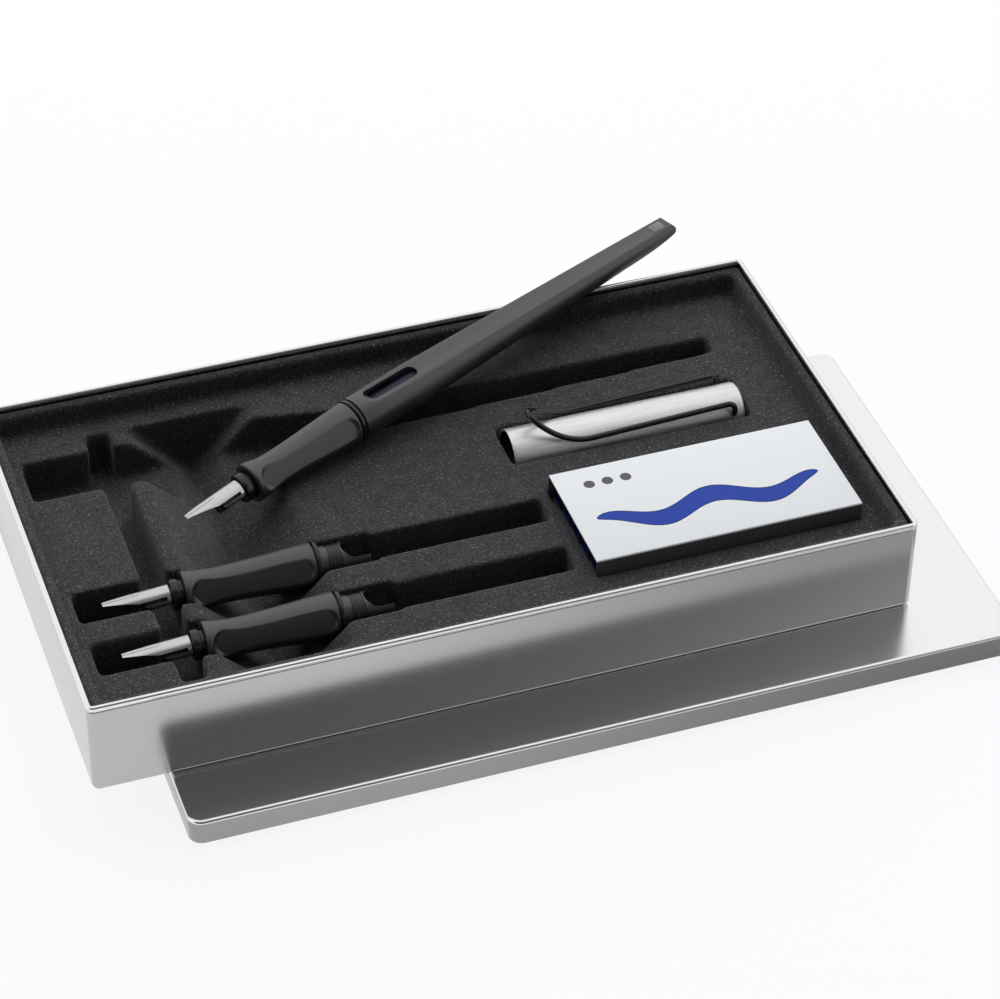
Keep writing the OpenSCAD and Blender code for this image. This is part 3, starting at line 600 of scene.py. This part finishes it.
def tray_form(length, depth, height):
    """Tray's section from the outer floor's middle over the folded rim to the inner floor's middle."""
    half = depth / 2
    edge, bead = 1.6, RIM_WIDTH / 2
    line = height - 1.55
    profile = chain(
        (half, 0), (edge + 0.6, 0), arc((edge, edge), edge, 270, 180, 8),
        (0, line - 0.24), (0.08, line - 0.14), (0.3, line - 0.1), (0.3, line + 0.1), (0.08, line + 0.16),
        (0, line + 0.3), arc((bead, height - bead), bead, 180, 0, 14),
        (RIM_WIDTH, height - RIM_HEIGHT + 0.3),
        arc((RIM_WIDTH - 0.3, height - RIM_HEIGHT + 0.3), 0.3, 0, -90, 4),
        (SHEET, height - RIM_HEIGHT), (SHEET, 2), (SHEET + 0.8, SHEET), (half, SHEET))
    return walled_shell(profile, length / 2, half, TRAY_CORNER)


def lid_form(length, depth, height, edge):
    """Lid's section from the top's middle over the edge and the skirt to the inside's middle."""
    half = depth / 2
    inner = height - SHEET
    profile = chain(
        (half, height), (edge + 0.5, height), arc((edge, height - edge), edge, 90, 180, 7),
        (0, 0.4), arc((0.4, 0.4), 0.4, 180, 360, 8), (SHEET, inner - 0.5),
        arc((SHEET + 0.5, inner - 0.5), 0.5, 180, 90, 4), (half, inner))
    return walled_shell(profile, length / 2, half, LID_CORNER)


def grip_radius(s):
    """Radius of the grip along its axis: lip, waist, then a long swell to the ring."""
    u = (s - LIP_AT) / (GRIP_REAR - LIP_AT)
    front = LIP_RADIUS + (WAIST_RADIUS - LIP_RADIUS) * ease(u / WAIST_SHARE)
    rear = WAIST_RADIUS + (BODY_RADIUS - 0.1 - WAIST_RADIUS) * ease((u - WAIST_SHARE) / (1 - WAIST_SHARE))
    return np.where(u < WAIST_SHARE, front, rear)


def grip_form(steps=168):
    """Grip with two finger facets. Each facet is a tilted plane inside a rounded strip: the radius is
    the smaller of the turned shape's and the plane's distance over the cosine of the angle from it."""
    edge = 0.55
    nose = arc((LIP_AT + edge, LIP_RADIUS - edge), edge, 180, 90, 6)
    s_grip = np.linspace(LIP_AT + edge, GRIP_REAR - 0.25, 150)[1:]
    tail = arc((GRIP_REAR - 0.2, grip_radius(GRIP_REAR) - 0.2), 0.2, 90, 0, 3)
    profile = chain(
        (LIP_AT + 1.5, FEED_RADIUS), (LIP_AT + 0.1, NECK_RADIUS - 0.1), (LIP_AT, NECK_RADIUS),
        nose, np.stack([s_grip, grip_radius(s_grip)], 1), tail,
        (GRIP_REAR, SPIGOT_RADIUS), (GRIP_REAR - 1, FEED_RADIUS))
    turn = np.arange(steps) * 2 * pi / steps
    s, radius = profile[:, :1], profile[:, 1:] * np.ones(steps)
    level = FACET_FRONT + (FACET_REAR - FACET_FRONT) * (s - FACET_START) / (FACET_END - FACET_START)
    for side in (-1, 1):
        away = (turn - side * FACET_ANGLE + pi) % (2 * pi) - pi
        facing = np.maximum(np.cos(away), 0.05)
        plane = level / facing
        across = radius * np.sin(away)
        half = FACET_WIDTH / 2
        along = np.clip(s, FACET_START + half, FACET_END - half)
        depth_in = half - np.hypot(s - along, across)
        share = ease((depth_in + 0.35) / 0.9) * (np.cos(away) > 0.2)
        cut = np.maximum(radius - plane, 0)
        soft = np.sqrt(cut * cut + 0.01) - 0.1
        outside = (s > LIP_AT + edge) & (s < GRIP_REAR)
        radius = radius - np.where(outside, soft * share, 0)
    x = np.broadcast_to(s, radius.shape)
    points = np.stack([x, -radius * np.sin(turn), radius * np.cos(turn)], -1).reshape(-1, 3)
    return points, grid(len(profile), steps, wrap_rows=True)


def neck_form():
    """Neck in front of the grip: a rounded ring with the feed's bore, and a groove next to the lip."""
    profile = chain(
        (NECK_AT + 5, 0), (NECK_AT + 5, FEED_RADIUS), (NECK_AT + 0.1, FEED_RADIUS),
        (NECK_AT, FEED_RADIUS + 0.1), (NECK_AT, NECK_RADIUS - 0.6),
        arc((NECK_AT + 0.5, NECK_RADIUS - 0.55), 0.5, 180, 100, 5),
        (NECK_AT + 1.2, NECK_RADIUS), (NECK_AT + 1.9, NECK_RADIUS - 0.03),
        arc((NECK_AT + 2.0, NECK_RADIUS - 0.35), 0.3, 75, 0, 4),
        (NECK_AT + 2.4, NECK_RADIUS - 0.6), (LIP_AT + 0.6, NECK_RADIUS - 0.6), (LIP_AT + 0.6, 0))
    return revolved(profile, 72)


def thread_form(pitch):
    """Tube behind the ring: collar, rounded ridges of a thread, and the bore with its nipple."""
    start, end = 3.1, TUBE_LENGTH - PRONG_LENGTH - 0.2
    s = np.linspace(start, end, 60)
    ridge = 0.5 - 0.5 * np.cos(2 * pi * (s - start) / pitch)
    ridge = np.where(s < start + 5 * pitch, ridge, 0.8)
    base = TUBE_LENGTH - PRONG_LENGTH
    seat = NECK_AT + 16.5
    profile = chain(
        (GRIP_REAR - 0.5, 0), (GRIP_REAR - 0.5, SPIGOT_RADIUS - 0.02), (0.95, SPIGOT_RADIUS - 0.02),
        (1.0, SPIGOT_RADIUS - 0.1), (1.0, TUBE_RADIUS - 0.05), (1.05, TUBE_RADIUS), (2.7, TUBE_RADIUS),
        (2.8, TUBE_RADIUS - 0.45), np.stack([s, TUBE_RADIUS - 0.38 + 0.36 * ridge], 1),
        (base, TUBE_RADIUS - 0.02), (base, BORE_RADIUS), (seat + 7.2, BORE_RADIUS), (seat + 7.2, 2.8),
        (seat, 2.8), (seat, 1.5), (seat + 4, 1.5), (seat + 4, 0))
    return revolved(profile, 96)


def prong_form(side):
    """One prong: the ring's sector beyond the notch's wall, whose half width is that of a slot with a
    round end, carried from the tube to the rounded tip."""
    base = TUBE_LENGTH - PRONG_LENGTH
    half_notch = NOTCH_WIDTH / 2
    s = np.concatenate([base + half_notch * ease(np.linspace(0.0, 0.5, 12)) * 2,
                        np.linspace(base + half_notch + 0.3, TUBE_LENGTH - 0.25, 8),
                        TUBE_LENGTH - 0.25 + 0.25 * np.sin(np.linspace(0.3, pi / 2, 4))])
    reach = np.clip(base + half_notch - s, 0, half_notch)
    wall = np.sqrt(np.maximum(half_notch ** 2 - reach ** 2, 0.0))
    shrink = np.clip((s - (TUBE_LENGTH - 0.25)) / 0.25, 0, 1)
    inset = 0.2 * (1 - np.sqrt(1 - shrink ** 2 * 0.98))
    outer = TUBE_RADIUS - 0.02 - inset
    inner = BORE_RADIUS + inset
    wall = wall + inset
    share = np.linspace(-1, 1, 17)
    outer_half = np.arccos(np.clip(wall / outer, 0, 0.99))
    inner_half = np.arccos(np.clip(wall / inner, 0, 0.985))
    turn_out = outer_half[:, None] * share
    turn_in = inner_half[:, None] * share[::-1]
    loop_y = np.concatenate([outer[:, None] * np.cos(turn_out), inner[:, None] * np.cos(turn_in)], 1)
    loop_z = np.concatenate([outer[:, None] * np.sin(turn_out), inner[:, None] * np.sin(turn_in)], 1)
    count = loop_y.shape[1]
    x = np.broadcast_to(s[:, None], loop_y.shape)
    loops = np.stack([x, side * loop_y, loop_z], -1)
    first = np.repeat(loops[:1].mean(1, keepdims=True), count, 1)
    last = np.repeat(loops[-1:].mean(1, keepdims=True), count, 1)
    return np.concatenate([first, loops, last]).reshape(-1, 3), grid(len(s) + 2, count)


def ring_form():
    """Seal ring with round edges, in its groove."""
    half, inner = RING_WIDTH / 2, SPIGOT_RADIUS + 0.05
    profile = chain((-half, inner), arc((-half + 0.3, BODY_RADIUS - 0.3), 0.3, 180, 90, 5),
                    arc((half - 0.3, BODY_RADIUS - 0.3), 0.3, 90, 0, 5), (half, inner))
    points, _ = revolved(profile)
    return points, grid(len(profile), 96, wrap_rows=True)


def nib_sheet(half_angle, reach, side=0, near=0.0):
    """Stretch of the nib's plate about its own axis: y = R sin a and z = R cos a, with a from near to
    half_angle and the distance from the base from 0 to reach, both given along a grid."""
    layers = []
    for radius in (NIB_RADIUS, NIB_RADIUS - NIB_PLATE):
        y = near + radius * np.sin(half_angle)
        layers.append(np.stack(np.broadcast_arrays(-reach, side * y, radius * np.cos(half_angle)), -1))
    return thick_sheet(*layers)


def nib_parts():
    """Nib: a full arc at its root, two plate halves with a fine slit between them from the shoulder to
    the broad edge, and a flank strip on either side with a slanted end."""
    along = np.linspace(0, 1, 64)[:, None] * NIB_LENGTH
    taper = np.clip((along - NIB_SHOULDER) / (NIB_LENGTH - NIB_SHOULDER), 0, 1)
    soft = taper + 0.035 * np.sin(pi * taper)
    width = NIB_HALF_WIDTH + (NIB_TIP_WIDTH / 2 - NIB_HALF_WIDTH) * soft
    half_angle = np.arcsin(width / NIB_RADIUS)
    slit = NIB_SLIT * ease((along - NIB_SHOULDER + 1) / 0.8)
    share = np.linspace(0, 1, 16)[None, :]
    parts = [nib_sheet(radians(91) * np.linspace(-1, 1, 40)[None, :],
                       NIB_ROOT * np.linspace(0, 1, 4)[:, None], 1)]
    for side in (-1, 1):
        parts.append(nib_sheet(half_angle * share, along, side, slit * (1 - share)))
        edge = np.linspace(0, 1, 9)[None, :]
        flank = radians(72) + radians(19) * edge
        reach = 7.2 - 1.6 * edge ** 1.5
        start = NIB_ROOT * 0.5
        parts.append(nib_sheet(flank, start + (reach - start) * np.linspace(0, 1, 24)[:, None], side))
    turn = np.array([[cos(NIB_FALL), 0, -sin(NIB_FALL)], [0, 1, 0], [sin(NIB_FALL), 0, cos(NIB_FALL)]])
    return [(points @ turn.T + (NIB_BASE, 0, NIB_CENTRE), quads) for points, quads in parts]


def cap_form(length, radius, wall, steps=128):
    """Cap: outer wall, round shoulder, end with its hole, inner wall. The inside has material 1."""
    inner, shoulder, end, hole = radius - wall, 1.2, 1.6, 4.4
    outside = chain(
        arc((0.12, inner + 0.12), 0.12, 270, 180, 2), arc((0.12, radius - 0.12), 0.12, 180, 90, 3),
        np.stack([np.linspace(1, length - shoulder - 0.5, 12), np.full(12, radius)], 1),
        arc((length - shoulder, radius - shoulder), shoulder, 90, 0, 8), (length, hole))
    inside = chain((length - end, hole), (length - end, inner))
    profile = np.concatenate([outside, inside])
    points, _ = revolved(profile, steps)
    dark = np.repeat(np.arange(len(profile)) >= len(outside), steps)
    dark[:3 * steps] = False
    return points, grid(len(profile), steps, wrap_rows=True), dark.astype(int)


def clip_path(length, radius):
    """Clip's path: peg, foot, rear bend and leg on either side, and the loop that joins the legs and
    turns up. Its stretches are drawn as points, then evened out and smoothed by averages."""
    peg_x, peg_z, foot_y, leg_y = length - 3.7, 2.6, radius + 0.2, 6.5
    rear_z, front_z, front_x = 6.6, 4.85, 22.0
    bend, foot, loop, tip = 1.5, 0.85, 16.3, 12.4
    down = np.radians(np.linspace(0, 90, 10))
    half = np.concatenate([
        [[peg_x, radius - 1.4, peg_z]],
        np.stack([np.full(10, peg_x), foot_y - foot + foot * np.sin(down),
                  peg_z + foot * (1 - np.cos(down))], 1),
        np.stack([peg_x - bend * (1 - np.cos(down)), foot_y + (leg_y - foot_y) * ease(down / (pi / 2)),
                  rear_z - bend + bend * np.sin(down)], 1)])
    t = np.linspace(0, 1, 24)[1:-1, None]
    leg = np.array([peg_x - bend, leg_y, rear_z]) * (1 - t) + np.array([front_x, leg_y, front_z]) * t
    half = np.concatenate([half, leg])
    a = np.radians(np.linspace(0, 180, 61))
    arch = np.stack([front_x - loop * np.sin(a), leg_y * np.cos(a),
                     front_z + (tip - front_z) * np.sin(a) ** 2], 1)
    other = half[::-1] * np.array([1, -1, 1])
    path = np.concatenate([half, arch, other])
    steps = np.concatenate([[0], np.cumsum(np.linalg.norm(np.diff(path, axis=0), axis=1))])
    even = np.linspace(0, steps[-1], 420)
    path = np.stack([np.interp(even, steps, path[:, k]) for k in range(3)], 1)
    for _ in range(6):
        path[1:-1] = (path[:-2] + 2 * path[1:-1] + path[2:]) / 4
    return np.concatenate([path[:-1:2], path[-1:]])


def carton_form(size, card):
    """Sleeve that is open at its left end: the wall's section carried round the rectangle of its end."""
    length, width, height = size
    half = height / 2
    profile = chain((half, length), (0.6, length), arc((0.3, length - 0.3), 0.3, 90, 180, 4),
                    (0, 0.06), (0.06, 0), (card - 0.06, 0), (card, 0.06), (card, length - card),
                    (half, length - card))
    points, quads = walled_shell(profile, width / 2, half, 0.45, 5)
    return points[:, [2, 0, 1]], quads


# Operators

class CALLIGRAPHY_OT_tin(bpy.types.Operator):
    """Builds the tray with its folded rim and the lid that it stands on"""
    bl_idname = "calligraphy_set.tin"
    bl_label = "Tin"

    def execute(self, context):
        settings = context.scene.calligraphy_tin
        rough = settings.roughness
        # Tray wall and lid skirt get darker copies of the metal's colour below the rim and the lid's top
        # edge: painted shade.
        tray_metal = brushed_steel("tray steel", tuple(settings.wall), tuple(settings.rim),
                                   TRAY_HIGH[2] - RIM_HEIGHT * MM, (1, 1, 0.02), rough)
        lid_metal = brushed_steel("lid steel", tuple(settings.skirt), tuple(settings.lid),
                                  LID_HIGH[2] - 0.8 * MM, (0.02, 1, 1), rough + 0.02)
        for node, low, high, metal in (("tray_shell", TRAY_LOW, TRAY_HIGH, tray_metal),
                                       ("lid_shell", LID_LOW, LID_HIGH, lid_metal)):
            length, depth, height = (high - low) / MM
            if node == "tray_shell":
                form = tray_form(length, depth, height)
            else:
                form = lid_form(length, depth, height, settings.lid_edge / MM)
            centre = frame_matrix(((low[0] + high[0]) / 2, (low[1] + high[1]) / 2, low[2]))
            body = node.split("_")[0]
            piece(f"tin_{body}", [form], centre, [metal], body, [node], 32)
        return {"FINISHED"}


def square_rim(points, cell):
    """Foam's points with its outer walls and the outer edge of its frame put back on the CAD box:
    what lies less than a cell inside a wall moves onto it."""
    low, high = corners("foam_insert")
    low, high = low + 0.02 * MM, high - 0.02 * MM
    placed = points.astype(float)
    beside = np.minimum(placed - low, high - placed)[:, :2].min(1)
    top = (beside < 1.6 * MM) & (placed[:, 2] > high[2] - 0.9 * cell)
    placed[top, 2] = high[2]
    for axis in (0, 1):
        for wall, sign in ((low[axis], 1), (high[axis], -1)):
            near = sign * (placed[:, axis] - wall) < 0.7 * cell
            placed[near, axis] = wall
    return placed


class CALLIGRAPHY_OT_foam(bpy.types.Operator):
    """Builds the moulded foam bed with soft edges and a fine grain"""
    bl_idname = "calligraphy_set.foam"
    bl_label = "Foam bed"

    def execute(self, context):
        settings = context.scene.calligraphy_foam
        item = merged_copy("foam_insert", "foam_bed")
        remesh = item.modifiers.new("cells", "REMESH")
        remesh.mode = "VOXEL"
        remesh.voxel_size = settings.cell * 1
        smooth = item.modifiers.new("soft edges", "SMOOTH")
        smooth.factor = 0.5
        smooth.iterations = 6
        applied(item)
        mesh = item.data
        points = np.empty(len(mesh.vertices) * 3, np.float32)
        normals = np.empty_like(points)
        mesh.vertices.foreach_get("co", points)
        mesh.vertex_normals.foreach_get("vector", normals)
        grain = np.random.default_rng(7).uniform(-1, 1, len(mesh.vertices)).astype(np.float32)
        points += normals * np.repeat(grain, 3) * settings.grain
        squared = square_rim(points.reshape(-1, 3), settings.cell)
        points = squared.ravel().astype(np.float32)
        mesh.vertices.foreach_set("co", points)
        mesh.materials.clear()
        mesh.materials.append(moulded_foam("black foam", tuple(settings.base), tuple(settings.fleck)))
        mesh.shade_smooth()
        settle(item, "insert", ["foam_insert"])
        return {"FINISHED"}


def build_section(prefix, matrix, bodies, settings, materials):
    """Grip section with its neck, ring, thread and prongs, and the nib and feed in front."""
    main, point, ring = bodies
    plastic, neck, steel = materials
    parts = [grip_form(), neck_form(), thread_form(settings.thread / MM), prong_form(-1), prong_form(1)]
    numbered = [part + (np.full(len(part[1]), int(k == 1)),) for k, part in enumerate(parts)]
    piece(f"{prefix}_grip", numbered, matrix, [plastic, neck], main,
          [f"{prefix}_section"], 38)
    piece(f"{prefix}_ring", [ring_form()], matrix, [neck], ring, [f"{prefix}_seal_ring"])
    piece(f"{prefix}_nib_plate", nib_parts(), matrix, [steel], point, [f"{prefix}_nib"], 35)
    dress(f"{prefix}_feed", neck)


class CALLIGRAPHY_OT_pens(bpy.types.Operator):
    """Builds the pen on the tray and the two spare nib sections in their pits"""
    bl_idname = "calligraphy_set.pens"
    bl_label = "Pen and spare sections"

    def execute(self, context):
        settings = context.scene.calligraphy_pen
        plastic = moulded_plastic("satin plastic", tuple(settings.plastic), 0.4, 1.0, 1.0)
        neck = moulded_plastic("glossy plastic", tuple(settings.neck), 0.22, 0.3)
        steel = polished_metal("nib steel", tuple(settings.steel), 0.3)
        materials = (plastic, neck, steel)
        build_section("pen", PEN_FRAME, ("pen_grip", "pen_point", "pen_ring"), settings, materials)
        for name, matrix in SPARE_FRAMES.items():
            build_section(name, matrix, (name, f"{name}_point", name), settings, materials)
        softened("pen_barrel", "pen_barrel_shell", plastic, "pen_body", 0.3)
        softened("pen_end_plate", "pen_barrel_plate",
                 moulded_plastic("grey plate", tuple(settings.plate), 0.4), "pen_body",
                 0.12, 2)
        ink = ink_plastic("blue ink", tuple(settings.ink))
        for number in range(1, 6):
            dress(f"cartridge_{number}", ink)
        # The pen's cartridge takes the carton cartridges' ink colour at 0.12 of its strength: painted
        # shade for the inside of the barrel.
        dress("pen_cartridge", moulded_plastic("dark cartridge", scaled(tuple(settings.ink), 0.12), 0.5))
        return {"FINISHED"}


class CALLIGRAPHY_OT_cap(bpy.types.Operator):
    """Builds the metal cap, its button and its sprung wire clip"""
    bl_idname = "calligraphy_set.cap"
    bl_label = "Cap"

    def execute(self, context):
        settings = context.scene.calligraphy_cap
        metal = polished_metal("cap aluminium", tuple(settings.metal), 0.46)
        lining = moulded_plastic("cap lining", tuple(settings.lining), 0.5)
        wire = moulded_plastic("clip coating", tuple(settings.wire), 0.16, 0.2)
        length = (CAP_HIGH[0] - CAP_LOW[0]) / MM
        radius = (CAP_HIGH[2] - CAP_LOW[2]) / MM / 2
        piece("cap_shell", [cap_form(length, radius, CAP_WALL)], CAP_FRAME, [metal, lining], "cap",
              ["cap_tube"], 30)
        path = clip_path(length, radius)
        piece("cap_wire_clip", [tube(path, settings.wire_radius / MM)], CAP_FRAME, [wire], "clip",
              ["cap_clip"], 50)
        dress("cap_liner", lining)
        dress("cap_finial", wire)
        return {"FINISHED"}


class CALLIGRAPHY_OT_carton(bpy.types.Operator):
    """Builds the printed card sleeve round the cartridges"""
    bl_idname = "calligraphy_set.carton"
    bl_label = "Ink carton"

    def execute(self, context):
        settings = context.scene.calligraphy_carton
        card = printed_card("printed board", tuple(settings.board), tuple(settings.side),
                            tuple(settings.ink), tuple(settings.grey))
        size = (CARTON_HIGH - CARTON_LOW) / MM
        centre = frame_matrix((CARTON_LOW[0], *((CARTON_LOW + CARTON_HIGH) / 2)[1:]))
        piece("carton_card", [carton_form(size, CARD)], centre, [card], "carton",
              ["carton_sleeve"], 30)
        return {"FINISHED"}


class CALLIGRAPHY_OT_stage(bpy.types.Operator):
    """Builds floor, lamp, background and camera"""
    bl_idname = "calligraphy_set.stage"
    bl_label = "Stage"

    def execute(self, context):
        settings = context.scene.calligraphy_stage
        scene = context.scene
        scene.view_settings.view_transform = "Standard"
        make_floor(tuple(settings.floor))
        make_world(scene, settings.fill)
        make_lamp("key lamp", (0.3, 1.0, 1.1), 2.4, settings.key)
        make_camera(scene)
        return {"FINISHED"}


def make_floor(color):
    """Pale floor that keeps the object's shadow and fades into the white background. It glows white for
    camera, glossy and transmission rays; in reflections the glow fades towards the right, a painted shade
    in the floor's reflection."""
    mesh = bpy.data.meshes.new("floor")
    reach = 6.0
    mesh.from_pydata([(-reach, -reach, 0), (reach, -reach, 0), (reach, reach, 0), (-reach, reach, 0)],
                     [], [(0, 1, 2, 3)])
    finish = Finish("pale floor", color, 0.9, 0.0, Specular_IOR_Level=0.1)
    glow = finish.add("ShaderNodeEmission")
    ray = finish.add("ShaderNodeLightPath").outputs
    # Painted shade in reflections: the floor's glow for glossy rays fades by up to a half towards the
    # right.
    painted_reflection_shade = finish.step(finish.split(finish.coordinates())[0], -0.07, 0.11, 0.0, 0.5)
    dimmed = finish.math("MULTIPLY", ray["Is Glossy Ray"], painted_reflection_shade)
    finish.link(finish.math("SUBTRACT", 1.0, dimmed), glow.inputs["Strength"])
    seen = finish.math("MAXIMUM", ray["Is Camera Ray"], ray["Is Glossy Ray"])
    seen = finish.math("MAXIMUM", seen, ray["Is Transmission Ray"])
    share = finish.math("MULTIPLY", seen, 0.88)
    blend = finish.add("ShaderNodeMixShader")
    finish.link(share, blend.inputs[0])
    finish.link(finish.shader.outputs[0], blend.inputs[1])
    finish.link(glow.outputs[0], blend.inputs[2])
    finish.link(blend.outputs[0], finish.tree.nodes["Material Output"].inputs["Surface"])
    mesh.materials.append(finish.material)
    floor = bpy.data.objects.new("floor", mesh)
    bpy.context.scene.collection.objects.link(floor)


def make_world(scene, fill):
    """White background for sight. Reflections see white too, but for a dark patch in front and above,
    where the studio is unlit. Diffuse light comes from all round and is weaker from the front."""
    world = bpy.data.worlds.new("studio")
    scene.world = world
    world.use_nodes = True
    tree = world.node_tree
    background = tree.nodes["Background"]
    background.inputs["Color"].default_value = (1, 1, 1, 1)
    direction = tree.nodes.new("ShaderNodeTexCoord").outputs["Generated"]
    path = tree.nodes.new("ShaderNodeLightPath").outputs

    def facing(centre, near, far, at_near, at_far):
        """Strength by the angle in degrees from a direction: at_near up to near, at_far from far on."""
        dot = tree.nodes.new("ShaderNodeVectorMath")
        dot.operation = "DOT_PRODUCT"
        dot.inputs[1].default_value = Vector(centre).normalized()
        tree.links.new(direction, dot.inputs[0])
        ramp = tree.nodes.new("ShaderNodeMapRange")
        ramp.interpolation_type = "SMOOTHSTEP"
        for socket, number in (("From Min", cos(radians(far))), ("From Max", cos(radians(near))),
                               ("To Min", at_far), ("To Max", at_near)):
            ramp.inputs[socket].default_value = number
        tree.links.new(dot.outputs["Value"], ramp.inputs["Value"])
        return ramp.outputs["Result"]

    def choose(factor, first, second):
        """First where the factor is 0, second where it is 1."""
        node = tree.nodes.new("ShaderNodeMix")
        tree.links.new(factor, node.inputs["Factor"])
        for socket, value in ((2, first), (3, second)):
            if isinstance(value, float):
                node.inputs[socket].default_value = value
            else:
                tree.links.new(value, node.inputs[socket])
        return node.outputs[0]

    diffuse = facing((-0.2, -0.85, 0.3), 30, 110, fill * 0.35, fill * 1.15)
    mirrored = facing((-0.25, -0.82, 0.43), 36, 58, 0.13, 1.0)
    strength = choose(path["Is Glossy Ray"], diffuse, mirrored)
    strength = choose(path["Is Transmission Ray"], strength, 1.0)
    strength = choose(path["Is Camera Ray"], strength, 1.0)
    tree.links.new(strength, background.inputs["Strength"])


def make_lamp(name, place, size, power):
    """Square lamp that looks at the middle of the set and shows in no reflection."""
    lamp = bpy.data.lights.new(name, "AREA")
    lamp.size = size
    lamp.energy = power
    item = bpy.data.objects.new(name, lamp)
    item.location = place
    item.visible_camera = False
    item.visible_glossy = False
    item.rotation_euler = (Vector((0, 0, 0.02)) - Vector(place)).to_track_quat("-Z", "Y").to_euler()
    bpy.context.scene.collection.objects.link(item)


def make_camera(scene):
    """Camera at the photograph's place and angle: azimuth, elevation and roll."""
    azimuth, elevation, roll = (radians(angle) for angle in CAMERA_ANGLES)
    back = Vector((sin(azimuth) * cos(elevation), -cos(azimuth) * cos(elevation), sin(elevation)))
    level = Vector((cos(azimuth), sin(azimuth), 0))
    upright = back.cross(level)
    right = level * cos(roll) + upright * sin(roll)
    up = upright * cos(roll) - level * sin(roll)
    matrix = Matrix((right, up, back)).transposed().to_4x4()
    matrix.translation = Vector(CAMERA_PLACE) + Vector(TRAY_LOW)
    data = bpy.data.cameras.new("camera")
    data.sensor_width = SENSOR
    data.lens = SENSOR * CAMERA_FOCUS
    data.clip_start = 0.01
    camera = bpy.data.objects.new("camera", data)
    camera.matrix_world = matrix
    scene.collection.objects.link(camera)
    scene.camera = camera


class CALLIGRAPHY_PT_parts(bpy.types.Panel):
    """Panel with the settings and the buttons of every piece"""
    bl_label = "Calligraphy Set"
    bl_idname = "CALLIGRAPHY_PT_parts"
    bl_space_type = "VIEW_3D"
    bl_region_type = "UI"
    bl_category = "Calligraphy Set"

    def draw(self, context):
        for operator, group in STEPS:
            box = self.layout.box()
            box.operator(operator.bl_idname)
            settings = getattr(context.scene, group)
            for name in settings.__annotations__:
                box.prop(settings, name)


GROUPS = {
    "calligraphy_tin": TinSettings,
    "calligraphy_foam": FoamSettings,
    "calligraphy_pen": PenSettings,
    "calligraphy_cap": CapSettings,
    "calligraphy_carton": CartonSettings,
    "calligraphy_stage": StageSettings,
}
STEPS = (
    (CALLIGRAPHY_OT_tin, "calligraphy_tin"),
    (CALLIGRAPHY_OT_foam, "calligraphy_foam"),
    (CALLIGRAPHY_OT_pens, "calligraphy_pen"),
    (CALLIGRAPHY_OT_cap, "calligraphy_cap"),
    (CALLIGRAPHY_OT_carton, "calligraphy_carton"),
    (CALLIGRAPHY_OT_stage, "calligraphy_stage"),
)


def register():
    """Registers the settings, the operators and the panel."""
    for name, group in GROUPS.items():
        bpy.utils.register_class(group)
        setattr(bpy.types.Scene, name, bpy.props.PointerProperty(type=group))
    for operator, _ in STEPS:
        bpy.utils.register_class(operator)
    bpy.utils.register_class(CALLIGRAPHY_PT_parts)


def unregister():
    """Takes away what register added."""
    bpy.utils.unregister_class(CALLIGRAPHY_PT_parts)
    for operator, _ in reversed(STEPS):
        bpy.utils.unregister_class(operator)
    for name, group in GROUPS.items():
        delattr(bpy.types.Scene, name)
        bpy.utils.unregister_class(group)


def main():
    """Builds every piece in order."""
    register()
    bpy.ops.calligraphy_set.tin()
    bpy.ops.calligraphy_set.foam()
    bpy.ops.calligraphy_set.pens()
    bpy.ops.calligraphy_set.cap()
    bpy.ops.calligraphy_set.carton()
    bpy.ops.calligraphy_set.stage()
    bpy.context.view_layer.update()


if __name__ == "__main__":
    main()
